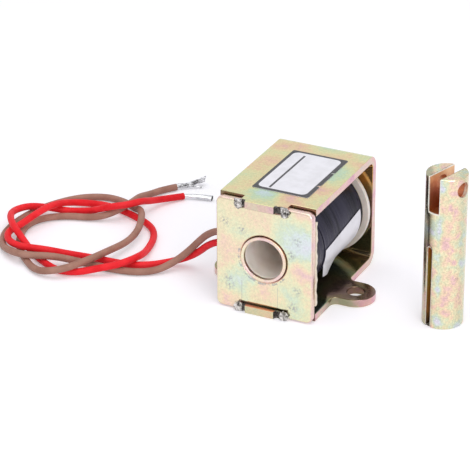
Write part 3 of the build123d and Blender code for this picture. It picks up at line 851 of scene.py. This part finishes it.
plate_finish, tree, shader, film = plated(
    "plate_chromate", 0.01, 0.6, 0.36, veil_colour=(0.90, 0.86, 0.78), patches=130.0, place=(0.004, 0.0, 0.013), pools=[
        ((9.4, -17.5, 20.9), 7.5, 0.30), ((5.5, -17.5, 25.0), 5, 0.18), ((9.0, -17.5, 8.8), 4.5, 0.24),
        ((9.5, -17.5, 3.0), 3.6, 0.16), ((-6.5, -17.5, 7.0), 6.5, 0.38), ((-8.0, -17.5, 16.5), 5, -0.26),
        ((11.8, -17.5, 12.0), 5.5, -0.32), ((10.0, -17.5, 28.5), 5, -0.20), ((-9.5, -17.5, 1.5), 4.5, -0.16),
        ((0, -17.5, 6.0), 6, -0.16), ((-12.3, -17.5, 17.0), 4, -0.13), ((-2.3, -17.5, 25.8), 6, 0.05),
    ],
)
# The burr round the collar's lower left was knocked down in crumbs
where = tree.nodes.new("ShaderNodeTexCoord")
axes = tree.nodes.new("ShaderNodeSeparateXYZ")
link(tree, where.outputs["Object"], axes.inputs[0])
up = maths(tree, "SUBTRACT", axes.outputs["Z"], AXIS_Z * MM)
reach = maths(tree, "SQRT", maths(tree, "ADD", maths(tree, "POWER", maths(tree, "ABSOLUTE", axes.outputs["X"]), 2.0),
                                  maths(tree, "POWER", maths(tree, "ABSOLUTE", up), 2.0)))
ring = maths(tree, "COMPARE", reach, 6.45 * MM, 0.42 * MM)
lower = maths(tree, "LESS_THAN", maths(tree, "MULTIPLY_ADD", axes.outputs["X"], 0.5, up), -0.001)
burr = maths(tree, "MULTIPLY", maths(tree, "MULTIPLY", ring, lower), cloud(tree, 1500, 2.0, 0.6))
marks = maths(tree, "MULTIPLY", maths(tree, "SUBTRACT", burr, 0.45), 7.0, clamp=True)
for x, z in ((-10.3, 23.0), (-5.6, 21.9), (8.6, 21.4), (-9.4, 7.9), (8.6, 8.2), (7.8, 3.8), (-9.0, 6.2), (7.0, 17.5)):
    spot = tree.nodes.new("ShaderNodeGroup")
    spot.node_tree = dents
    spot.inputs["Place"].default_value = (x * MM, plate_low.y * MM, z * MM)
    marks = maths(tree, "MAXIMUM", marks, spot.outputs["Mask"])
low_enough = maths(tree, "LESS_THAN", axes.outputs["Z"], 0.0082)
for x in (-5.8, 3.64):
    line = maths(tree, "COMPARE", axes.outputs["X"], x * MM, 0.00007)
    marks = maths(tree, "MAXIMUM", marks, maths(tree, "MULTIPLY", maths(tree, "MULTIPLY", line, low_enough), 0.7))
link(tree, blend_colour(tree, maths(tree, "MULTIPLY", marks, 0.75), film.outputs["Color"], (0.36, 0.36, 0.38)),
     shader.inputs["Base Color"])
relief(tree, shader, maths(tree, "MULTIPLY_ADD", marks, -6.0, film.outputs["Height"]), 0.3, 0.00004)
rim_finish = plated("plate_rim_chromate", -0.12, 0.5, 0.55, veil_colour=(0.86, 0.70, 0.70), patches=260.0)[0]
plate_piece = piece("pole_plate", plate, "solenoid", [plate_finish, rim_finish])
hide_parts("front_plate")


# Guide collar: a turned steel bush pressed through the plate, plated with it, and scraped where
# the burr at its lower left was knocked down.
COLLAR_R = (5.1, 5.3, 5.9)
collar_low, collar_high = (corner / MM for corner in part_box("bore_collar"))
collar = turned(eased([
    (collar_high.y, COLLAR_R[1]), (LINER_FRONT - 0.15, COLLAR_R[1]), (LINER_FRONT - 0.15, COLLAR_R[0]),
    (collar_low.y, COLLAR_R[0]), (collar_low.y, COLLAR_R[2]), (collar_high.y, COLLAR_R[2]),
], 0.25, 5), steps=120)
collar_finish = plated("collar_chromate", -0.12, 0.6, 0.45, patches=220.0)[0]
collar_piece = piece("guide_collar", collar, "solenoid", [collar_finish])
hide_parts("bore_collar")


# Staked metal: the lobes that the chisel split off each tab and folded over the plate. The torn
# metal is bare and grey.
def torn_lump(centre, size, seed):
    """Crumpled lump of split metal, flat against the plate."""
    shape = bmesh.new()
    bmesh.ops.create_icosphere(shape, subdivisions=5, radius=1.0)
    for vert in shape.verts:
        way = vert.co.normalized()
        ridge = abs(noise.noise(way * 1.7 + Vector((seed, 0, 0))))
        crumb = noise.noise(way * 4.0 + Vector((0, seed, 0)))
        crack = max(0.0, 0.10 - abs(noise.noise(way * 2.3 + Vector((0, 0, seed))))) * 2.4
        swell = 0.80 + 0.40 * ridge + 0.14 * crumb - crack
        vert.co = Vector(centre) + Vector((way.x * size[0], way.y * size[1], way.z * size[2])) * swell
        vert.co.y = min(max(vert.co.y, plate_low.y - 0.99), plate_low.y + 0.1)
        vert.co.z = min(max(vert.co.z, 0.02), HEIGHT - 0.02)
    return shape


for name, centre, size, seed in (
    ("stake_low_left", (-6.6, -17.85, 1.15), (1.25, 0.9, 1.25), 1.0),
    ("stake_low_right", (5.55, -17.85, 1.1), (1.2, 0.9, 1.3), 5.0),
    ("stake_high_left", (-6.5, -17.75, 28.5), (1.2, 0.85, 1.3), 11.0),
    ("stake_high_right", (5.6, -17.8, 28.4), (1.25, 0.9, 1.35), 17.0),
):
    piece(name, torn_lump(centre, size, seed), "solenoid", [torn])


# Splice: the leads' joints to the coil lie flat on its left side under more of the same tape.
pad_low, pad_high = (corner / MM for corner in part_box("splice_pad"))
pad = bmesh.new()
bmesh.ops.create_cube(pad, size=1.0)
bmesh.ops.subdivide_edges(pad, edges=pad.edges, cuts=13, use_grid_fill=True)
pad_mid = (pad_low + pad_high) / 2
pad_size = pad_high - pad_low
for vert in pad.verts:
    u, v, w = (2 * value for value in vert.co)
    crown = (1 - 0.35 * abs(v) ** 3) * (1 - 0.35 * abs(w) ** 3)
    bulge = noise.noise(Vector((u, 2.2 * v, 1.6 * w))) * 0.18
    depth = (u - 1) / 2 * pad_size.x * crown
    vert.co = Vector((pad_high.x + depth * (1 + bulge), pad_mid.y + v * pad_size.y / 2, pad_mid.z + w * pad_size.z / 2))
pad_piece = piece("splice_tape", pad, "solenoid", [tape], crease=60)
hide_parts("splice_pad")


# Leads: two 20 AWG stranded hook-up wires, red and brown, in soft PVC insulation.
# They leave the taped splice on the coil's left side and lie on the table in loose coils.
LEAD_D = 0.0018
RED_POINTS = [
    (-13.2, -7.0, 11.5), (-16.8, -7.0, 11.5), (-20.6, -6.0, 9.2), (-24.1, -3.8, 5.6),
    (-27.9, -2.4, 2.6), (-32.0, -3.9, 1.1), (-36.5, -8.2, 1.0), (-42.0, -10.0, 1.0),
    (-50.0, -10.2, 1.0), (-57.5, -11.0, 1.0), (-62.5, -14.6, 2.9), (-68.5, -16.2, 3.0),
    (-72.8, -14.4, 3.0), (-75.3, -10.2, 3.0), (-74.4, -5.7, 3.0), (-72.3, -1.5, 4.6),
    (-71.2, 3.2, 5.0), (-71.0, 8.5, 3.8), (-70.2, 14.0, 1.8), (-66.8, 17.0, 1.0),
    (-60.5, 17.9, 1.0), (-53.0, 15.5, 1.0), (-45.8, 12.0, 1.0), (-42.0, 6.5, 1.0),
    (-40.0, -1.8, 1.3), (-38.8, -8.0, 2.95), (-41.0, -13.8, 3.0), (-45.7, -16.8, 2.1),
    (-50.5, -19.1, 1.0), (-55.5, -20.2, 1.0), (-60.5, -17.7, 1.0), (-65.3, -14.8, 1.0),
    (-69.6, -12.6, 3.4), (-74.0, -9.8, 5.1), (-77.8, -4.8, 4.8), (-79.6, 0.6, 3.5),
    (-77.9, 5.0, 3.1), (-74.3, 7.8, 2.3), (-70.4, 10.1, 1.1), (-66.5, 11.7, 1.0),
    (-62.0, 11.8, 2.2), (-57.8, 10.9, 4.4), (-53.6, 12.9, 4.95), (-51.6, 17.2, 4.6),
    (-51.2, 21.2, 3.0), (-50.0, 26.8, 1.4), (-46.5, 31.3, 1.0),
]
BROWN_POINTS = [
    (-13.2, -7.5, 14.7), (-16.8, -7.5, 14.7), (-20.5, -6.5, 12.4), (-23.8, -4.6, 8.9),
    (-26.9, -3.7, 5.3), (-29.8, -5.5, 2.5), (-33.0, -9.8, 1.0), (-38.0, -13.0, 1.0),
    (-46.0, -13.9, 1.0), (-53.5, -13.5, 1.0), (-58.5, -17.0, 2.9), (-64.5, -19.7, 3.0),
    (-70.0, -18.2, 2.3), (-75.0, -14.0, 1.0), (-77.8, -8.0, 1.0), (-78.5, -1.0, 1.0),
    (-77.0, 8.5, 1.0), (-71.7, 18.2, 1.0), (-65.0, 22.3, 1.0), (-59.0, 21.8, 1.0),
    (-54.3, 19.2, 1.0), (-50.8, 15.8, 2.9), (-48.3, 11.4, 3.1), (-46.4, 5.7, 2.3),
    (-45.9, -1.0, 2.2), (-47.2, -9.0, 3.0), (-50.0, -18.0, 3.1), (-53.6, -22.8, 2.6),
    (-59.5, -23.2, 1.2), (-65.5, -18.5, 1.0), (-71.4, -12.0, 1.0), (-75.2, -2.5, 1.0),
    (-73.6, 3.8, 1.0), (-68.5, 7.8, 1.0), (-61.8, 9.6, 1.0), (-57.8, 11.3, 2.1),
    (-55.6, 14.6, 3.0), (-55.0, 18.8, 3.05), (-55.2, 23.2, 2.6), (-54.8, 27.8, 1.3),
    (-53.4, 32.2, 1.0), (-50.8, 35.5, 1.0),
]


def insulation(name, dark, light):
    mat, tree, out = material(name)
    shader = principled(tree, out, Roughness=0.48, Specular_IOR_Level=0.15)
    link(tree, colour_ramp(tree, cloud(tree, 260, 3), [(0.3, dark), (0.7, light)]), shader.inputs["Base Color"])
    relief(tree, shader, cloud(tree, 2400, 3), 0.25, 0.00008)
    return mat


def lead(name, points, mat):
    curve = bpy.data.curves.new(name, "CURVE")
    curve.dimensions = "3D"
    curve.bevel_depth = LEAD_D / 2
    curve.bevel_resolution = 4
    curve.use_fill_caps = True
    curve.resolution_u = 8
    spline = curve.splines.new("NURBS")
    spline.points.add(len(points) - 1)
    for point, (x, y, z) in zip(spline.points, points):
        point.co = (x * MM, y * MM, z * MM, 1)
    spline.order_u = 3
    spline.use_endpoint_u = True
    curve.materials.append(mat)
    obj = bpy.data.objects.new(name, curve)
    bpy.context.scene.collection.objects.link(obj)
    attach(obj, "solenoid")
    return obj


red_insulation = insulation("red_insulation", (0.80, 0.012, 0.020), (0.97, 0.035, 0.045))
brown_insulation = insulation("brown_insulation", (0.34, 0.17, 0.125), (0.45, 0.24, 0.185))
red = lead("red_wire", RED_POINTS, red_insulation)
brown = lead("brown_wire", BROWN_POINTS, brown_insulation)
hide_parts("red_lead")
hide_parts("brown_lead")


# Tinned ends: the stripped strands of each lead. The red one's are twisted, dipped in solder and
# nipped off square, and the brown one's have come apart again.
tin, tree, out = material("tinned_strands")
shader = principled(tree, out, Metallic=1.0)
link(tree, colour_ramp(tree, cloud(tree, 900, 3), [(0.36, (0.14, 0.135, 0.14)), (0.6, (0.88, 0.88, 0.90))]),
     shader.inputs["Base Color"])
link(tree, maths(tree, "MULTIPLY_ADD", cloud(tree, 1500, 2), 0.3, 0.15), shader.inputs["Roughness"])
relief(tree, shader, cloud(tree, 3000, 3), 0.4, 0.00006)
solder, tree, out = material("solder_skin")
shader = principled(tree, out, Metallic=1.0, Roughness=0.2)
link(tree, colour_ramp(tree, cloud(tree, 500, 2), [(0.3, (0.50, 0.50, 0.52)), (0.6, (0.86, 0.86, 0.88))]),
     shader.inputs["Base Color"])
relief(tree, shader, cloud(tree, 1200, 2), 0.3, 0.00006)
nipped, tree, out = material("nipped_end")
shader = principled(tree, out, Metallic=0.8, Roughness=0.6)
link(tree, colour_ramp(tree, cloud(tree, 3000, 3), [(0.35, (0.015, 0.014, 0.013)), (0.7, (0.07, 0.06, 0.055))]),
     shader.inputs["Base Color"])

RED_END = [(-47.2, 30.9, 1.0), (-45.8, 31.9, 0.95), (-43.4, 33.2, 0.8), (-39.4, 33.8, 0.75)]


def along(points, t):
    """Point of a smooth line through the four control points."""
    a, b, c, d = (Vector(p) for p in points)
    s = 1 - t
    return a * s ** 3 + b * 3 * s * s * t + c * 3 * s * t * t + d * t ** 3


bundle = bmesh.new()
rings = []
for k in range(33):
    t = k / 32
    here = along(RED_END, t)
    ahead = (along(RED_END, min(1, t + 0.01)) - along(RED_END, max(0, t - 0.01))).normalized()
    side = ahead.cross(Vector((0, 0, 1))).normalized()
    up = side.cross(ahead)
    flat = min(1.0, t * 2.2)
    ring = []
    for i in range(56):
        turn = 2 * math.pi * i / 56
        lobe = 1 + 0.035 * math.cos(7 * turn + 5.0 * t)
        r = (0.60 + 0.10 * t + 0.02 * math.sin(9 * t)) * lobe
        place = here + side * (r * (1 + 0.28 * flat) * math.cos(turn)) + up * (r * (1 - 0.06 * flat) * math.sin(turn))
        ring.append(bundle.verts.new(place))
    rings.append(ring)
for ring, following in zip(rings, rings[1:]):
    for i in range(56):
        bundle.faces.new((ring[i], ring[(i + 1) % 56], following[(i + 1) % 56], following[i]))
bundle.faces.new(rings[0])
bundle.faces.new(rings[-1]).material_index = 1
red_end = piece("red_strands", bundle, "solenoid", [solder, nipped], crease=50)
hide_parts("red_tip")

# Offsets of each brown strand from the bundle's line, across and up, at its middle and its end
BROWN_END = [(-51.4, 34.8, 1.0), (-49.5, 37.1, 1.1), (-47.0, 39.6, 0.9), (-44.5, 42.2, 1.0)]
STRANDS = [
    (0.25, 0.30, 0.6, 2.1, 0.93), (-0.25, 0.35, 0.2, 1.6, 0.88), (0.0, 0.55, -0.2, 1.2, 0.94),
    (0.45, 0.0, 0.4, 0.6, 0.90), (-0.45, 0.05, -0.4, 0.4, 0.93), (0.3, -0.3, -0.9, 0.0, 0.91),
    (-0.3, -0.3, -1.2, -0.2, 0.86), (0.0, -0.5, 1.6, -0.5, 0.78), (0.1, 0.1, -0.2, 0.3, 0.84),
    (-0.5, 0.3, 1.2, 1.7, 0.84), (0.5, 0.2, -0.6, 0.9, 0.88), (0.2, -0.1, -1.0, 0.5, 0.95),
    (-0.1, 0.45, 0.4, 1.0, 0.90),
]
curve = bpy.data.curves.new("brown_strands", "CURVE")
curve.dimensions = "3D"
curve.bevel_depth = 0.22 * MM
curve.bevel_resolution = 2
curve.use_fill_caps = True
curve.resolution_u = 6
for number, (side_mid, up_mid, side_end, up_end, length) in enumerate(STRANDS):
    spline = curve.splines.new("NURBS")
    spline.points.add(8)
    for k, point in enumerate(spline.points):
        t = 0.97 * length * k / 8
        here = along(BROWN_END, min(t, 1.0))
        ahead = (along(BROWN_END, 1.0) - along(BROWN_END, 0.0)).normalized()
        side = ahead.cross(Vector((0, 0, 1))).normalized()
        open_up = max(0.0, t / length - 0.55) / 0.45
        twist = 2.6 * t + 0.4 * math.sin(number)
        across = side_mid * math.cos(twist) - up_mid * math.sin(twist)
        high = side_mid * math.sin(twist) + up_mid * math.cos(twist)
        across = across * (1 - open_up) + side_end * open_up + 0.12 * math.sin(7 * t + 2 * number)
        high = high * (1 - open_up) + up_end * open_up
        place = here + ahead * max(0.0, t - 1.0) * 8 + side * across + Vector((0, 0, high))
        place.z = max(place.z, 0.2)
        point.co = (*(place * MM), 1)
    spline.order_u = 3
    spline.use_endpoint_u = True
curve.materials.append(tin)
brown_end = bpy.data.objects.new("brown_strands", curve)
bpy.context.scene.collection.objects.link(brown_end)
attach(brown_end, "solenoid")
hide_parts("brown_tip")


# Plunger: a 10 mm steel bar, slotted and cross drilled at the top for its link, and slit from
# the foot to stop eddy currents. It is plated like the frame, and its slots hold a browner film.
bar_low, bar_high = (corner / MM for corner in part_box("plunger"))
BAR_AT = (bar_low + bar_high) / 2
BAR_R = (bar_high.x - bar_low.x) / 2
BAR_L = bar_high.z
BAR_EASE = 0.32
CLEVIS_TURN = -17.0
CLEVIS_HALF = 1.5
CLEVIS_FLOOR = BAR_L - 9.0
PIN_R = 1.9
PIN_Z = BAR_L - 3.15
SLIT_TURN = -25.0
SLIT_HALF = 0.72
SLIT_TOP = 20.9


def prism(outline, low, high):
    """Upright prism over a flat outline, between two heights."""
    shape = bmesh.new()
    bottom = [shape.verts.new((x, y, low)) for x, y in outline]
    top = [shape.verts.new((x, y, high)) for x, y in outline]
    shape.faces.new(bottom[::-1])
    shape.faces.new(top)
    for i in range(len(outline)):
        j = (i + 1) % len(outline)
        shape.faces.new((bottom[i], bottom[j], top[j], top[i]))
    return shape


def cut_away(body, cutters):
    """The body less its cutters."""
    solids = []
    for shape in (body, *cutters):
        bmesh.ops.recalc_face_normals(shape, faces=shape.faces)
        mesh = bpy.data.meshes.new("solid")
        shape.to_mesh(mesh)
        shape.free()
        solids.append(bpy.data.objects.new("solid", mesh))
        bpy.context.scene.collection.objects.link(solids[-1])
    for cutter in solids[1:]:
        step = solids[0].modifiers.new("cut", "BOOLEAN")
        step.operation = "DIFFERENCE"
        step.solver = "EXACT"
        step.object = cutter
    mesh = bpy.data.meshes.new_from_object(solids[0].evaluated_get(bpy.context.evaluated_depsgraph_get()))
    left = bmesh.new()
    left.from_mesh(mesh)
    bpy.data.meshes.remove(mesh)
    for solid in solids:
        bpy.data.objects.remove(solid)
    return left


# Facets meet at the slots' sides, so that each cut leaves clean edges to round over
slot_half_turn = math.degrees(math.asin(CLEVIS_HALF / BAR_R))
slit_half_turn = math.degrees(math.asin(SLIT_HALF / BAR_R))
marks = [CLEVIS_TURN - 90 - slot_half_turn, SLIT_TURN - 90 - slit_half_turn, SLIT_TURN - 90 + slit_half_turn,
         CLEVIS_TURN - 90 + slot_half_turn, CLEVIS_TURN + 90 - slot_half_turn, CLEVIS_TURN + 90 + slot_half_turn]
turns = []
for here, ahead in zip(marks, marks[1:] + [marks[0] + 360]):
    steps = max(1, round((ahead - here) / 3.2))
    turns += [here + (ahead - here) * i / steps for i in range(steps)]
levels = [(BAR_R - BAR_EASE * (1 - math.sin(t)), BAR_EASE * (1 - math.cos(t))) for t in (0, 0.52, 1.05, math.pi / 2)]
levels += [(BAR_R, 2.45 * k) for k in range(1, 16)] + [(r, BAR_L - z) for r, z in reversed(levels)]
bar = bmesh.new()
rings = [
    [bar.verts.new((r * math.cos(math.radians(t)), r * math.sin(math.radians(t)), z)) for t in turns]
    for r, z in levels
]
for ring, following in zip(rings, rings[1:]):
    for i in range(len(turns)):
        j = (i + 1) % len(turns)
        bar.faces.new((ring[i], ring[j], following[j], following[i]))
bar.faces.new(rings[0][::-1])
bar.faces.new(rings[-1])

clevis = prism([(-CLEVIS_HALF, -8), (CLEVIS_HALF, -8), (CLEVIS_HALF, 8), (-CLEVIS_HALF, 8)], CLEVIS_FLOOR, BAR_L + 1)
pin = prism(arc((0, 0), PIN_R, 0, 352.5, 47), -8, 8)
bmesh.ops.rotate(pin, cent=(0, 0, 0), matrix=Matrix.Rotation(math.pi / 2, 3, "Y"), verts=pin.verts)
bmesh.ops.translate(pin, vec=(0, 0, PIN_Z), verts=pin.verts)
slit_top = arc((0, SLIT_TOP - SLIT_HALF), SLIT_HALF, 0, 180, 10)
slit = prism([(-SLIT_HALF, -1), (SLIT_HALF, -1), *slit_top], 0, 8)
bmesh.ops.rotate(slit, cent=(0, 0, 0), matrix=Matrix.Rotation(math.pi / 2, 3, "X"), verts=slit.verts)
for shape, turn in ((clevis, CLEVIS_TURN), (pin, CLEVIS_TURN), (slit, SLIT_TURN)):
    bmesh.ops.rotate(shape, cent=(0, 0, 0), matrix=Matrix.Rotation(math.radians(turn), 3, "Z"), verts=shape.verts)
bar = cut_away(bar, [clevis, pin, slit])
pin_axis = Vector((math.cos(math.radians(CLEVIS_TURN)), math.sin(math.radians(CLEVIS_TURN)), 0))


def from_pin(place):
    """Distance of a place from the pin hole's axis."""
    arm = place - Vector((0, 0, PIN_Z))
    return (arm - pin_axis * arm.dot(pin_axis)).length


for face in bar.faces:
    spot = face.calc_center_median()
    if math.hypot(spot.x, spot.y) < BAR_R - 0.25 and 0.02 < spot.z < BAR_L - 0.02:
        face.material_index = 1
sharp = [
    edge for edge in bar.edges
    if len(edge.link_faces) == 2 and edge.calc_face_angle(0) > 0.7
    and {face.material_index for face in edge.link_faces} == {0, 1}
    and not all(abs(from_pin(vert.co) - PIN_R) < 0.05 for vert in edge.verts)
]
bmesh.ops.bevel(bar, geom=sharp, offset=0.28, segments=2, profile=0.5, affect="EDGES", clamp_overlap=False, material=2)
bmesh.ops.translate(bar, vec=(BAR_AT.x, BAR_AT.y, 0), verts=bar.verts)

plunger_film_and_side_shade, tree, shader, film = plated(
    "plunger_chromate_and_painted_shade", -0.04, 0.9, 0.34, veil_colour=(0.90, 0.79, 0.72), patches=400.0, place=(0.0, 0.01, 0.0),
    grain=0.22, pools=[
        ((41.6, -5.8, 25.5), 5.5, -0.22), ((41.6, -5.8, 30.5), 4.5, -0.16), ((43.5, -4.3, 25.0), 5, 0.14),
        ((40.5, -6.1, 6.0), 2.8, -0.20), ((41.8, -5.6, 18.8), 3.6, -0.20), ((42.7, -5.0, 8.5), 4.5, -0.20),
        ((44.1, -3.2, 17.6), 5, 0.18), ((39.5, -6.2, 11.5), 3.4, 0.26), ((41.7, -5.7, 13.5), 4.5, -0.14),
        ((41.4, -5.8, 34.0), 4, -0.20), ((41.0, -5.9, 38.4), 3.4, 0.40), ((39.3, -6.2, 3.5), 3, 0.08),
        ((38.6, -6.1, 26.5), 5.5, 0.38), ((43.5, -4.2, 32.5), 3, 0.10), ((42.5, -5.2, 1.5), 3.4, 0.40),
    ],
)
# Across the bar the film's hue shifts in upright bands, and painted shade darkens the bar towards its sides, most on
# its left.
where = tree.nodes.new("ShaderNodeTexCoord")
axes = tree.nodes.new("ShaderNodeSeparateXYZ")
link(tree, where.outputs["Object"], axes.inputs[0])
middle = (0.9 * BAR_AT.x + 0.44 * BAR_AT.y) * MM
across = maths(tree, "MULTIPLY_ADD", axes.outputs["X"], 0.9, maths(tree, "MULTIPLY_ADD", axes.outputs["Y"], 0.44, -middle))
across = maths(tree, "MULTIPLY_ADD", across, 100.0, maths(tree, "MULTIPLY_ADD", cloud(tree, 200, 3, stretch=(1, 1, 0.4)), 0.24, 0.38))
columns = colour_ramp(tree, across, [
    (place, (level, level, level)) for place, level in ((0.20, 0.5), (0.31, 0.76), (0.42, 0.36), (0.53, 0.22),
                                                        (0.63, 0.38), (0.74, 0.47), (0.86, 0.62), (1.0, 0.6))
])
columns = maths(tree, "MULTIPLY_ADD", columns, 0.56, -0.28)
hue = film.inputs["Tone"].links[0].from_socket
link(tree, maths(tree, "SMOOTH_MAX", maths(tree, "ADD", hue, columns), -0.08, 0.08), film.inputs["Tone"])
# Painted shade towards the bar's left and right sides.
painted_side_shade = colour_ramp(tree, across, [
    (place, (level, level, level)) for place, level in ((0.10, 0.58), (0.20, 0.95), (0.45, 0.98), (0.70, 1.0), (0.86, 0.84), (1.0, 0.88))
])
plain = blend_colour(tree, 1.0, film.outputs["Color"], painted_side_shade, "MULTIPLY")
speck = tree.nodes.new("ShaderNodeGroup")
speck.node_tree = dents
speck.inputs["Place"].default_value = (0.04374, -0.00385, 0.0132)
speck.inputs["Reach"].default_value = 0.0006
link(tree, blend_colour(tree, speck.outputs["Mask"], plain, (0.12, 0.10, 0.09)), shader.inputs["Base Color"])

slot_film_and_highlight, tree, out = material("slot_film_and_highlight")
shader = principled(tree, out, Metallic=0.75, Roughness=0.33)
where = tree.nodes.new("ShaderNodeTexCoord")
axes = tree.nodes.new("ShaderNodeSeparateXYZ")
link(tree, where.outputs["Object"], axes.inputs[0])
height = maths(tree, "MULTIPLY_ADD", cloud(tree, 420, 3), 0.14, maths(tree, "MULTIPLY_ADD", axes.outputs["Z"], 1 / (BAR_L * MM), -0.07))
browned = colour_ramp(tree, height, [
    (0.02, (0.15, 0.08, 0.03)), (0.10, (0.80, 0.40, 0.12)), (0.28, (0.70, 0.52, 0.12)), (0.42, (0.72, 0.54, 0.12)),
    (0.50, (0.95, 0.42, 0.08)), (0.76, (0.44, 0.15, 0.04)), (0.89, (0.58, 0.22, 0.12)), (0.98, (0.80, 0.50, 0.27)),
])
# Painted highlight on the mouth of the pin hole, below and to one side
mouth = maths(tree, "MULTIPLY", maths(tree, "SUBTRACT", axes.outputs["X"], 0.0435), 4000.0, clamp=True)
painted_hole_highlight = maths(tree, "MULTIPLY", mouth, maths(tree, "LESS_THAN", axes.outputs["Z"], (PIN_Z + 1.2) * MM))
link(tree, blend_colour(tree, painted_hole_highlight, browned, (0.97, 0.93, 0.82)), shader.inputs["Base Color"])
relief(tree, shader, cloud(tree, 900, 3), 0.3, 0.00005)
# The rounded edges take a near-white film: a painted highlight.
edge_highlight_finish = plated("painted_edge_highlight", 0.0, 0.6, 0.80, veil_colour=(0.97, 0.95, 0.90), patches=300.0, metal=0.4, rough=0.3)[0]
bar_piece = piece("slotted_bar", bar, "plunger", [plunger_film_and_side_shade, slot_film_and_highlight, edge_highlight_finish])
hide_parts("plunger")
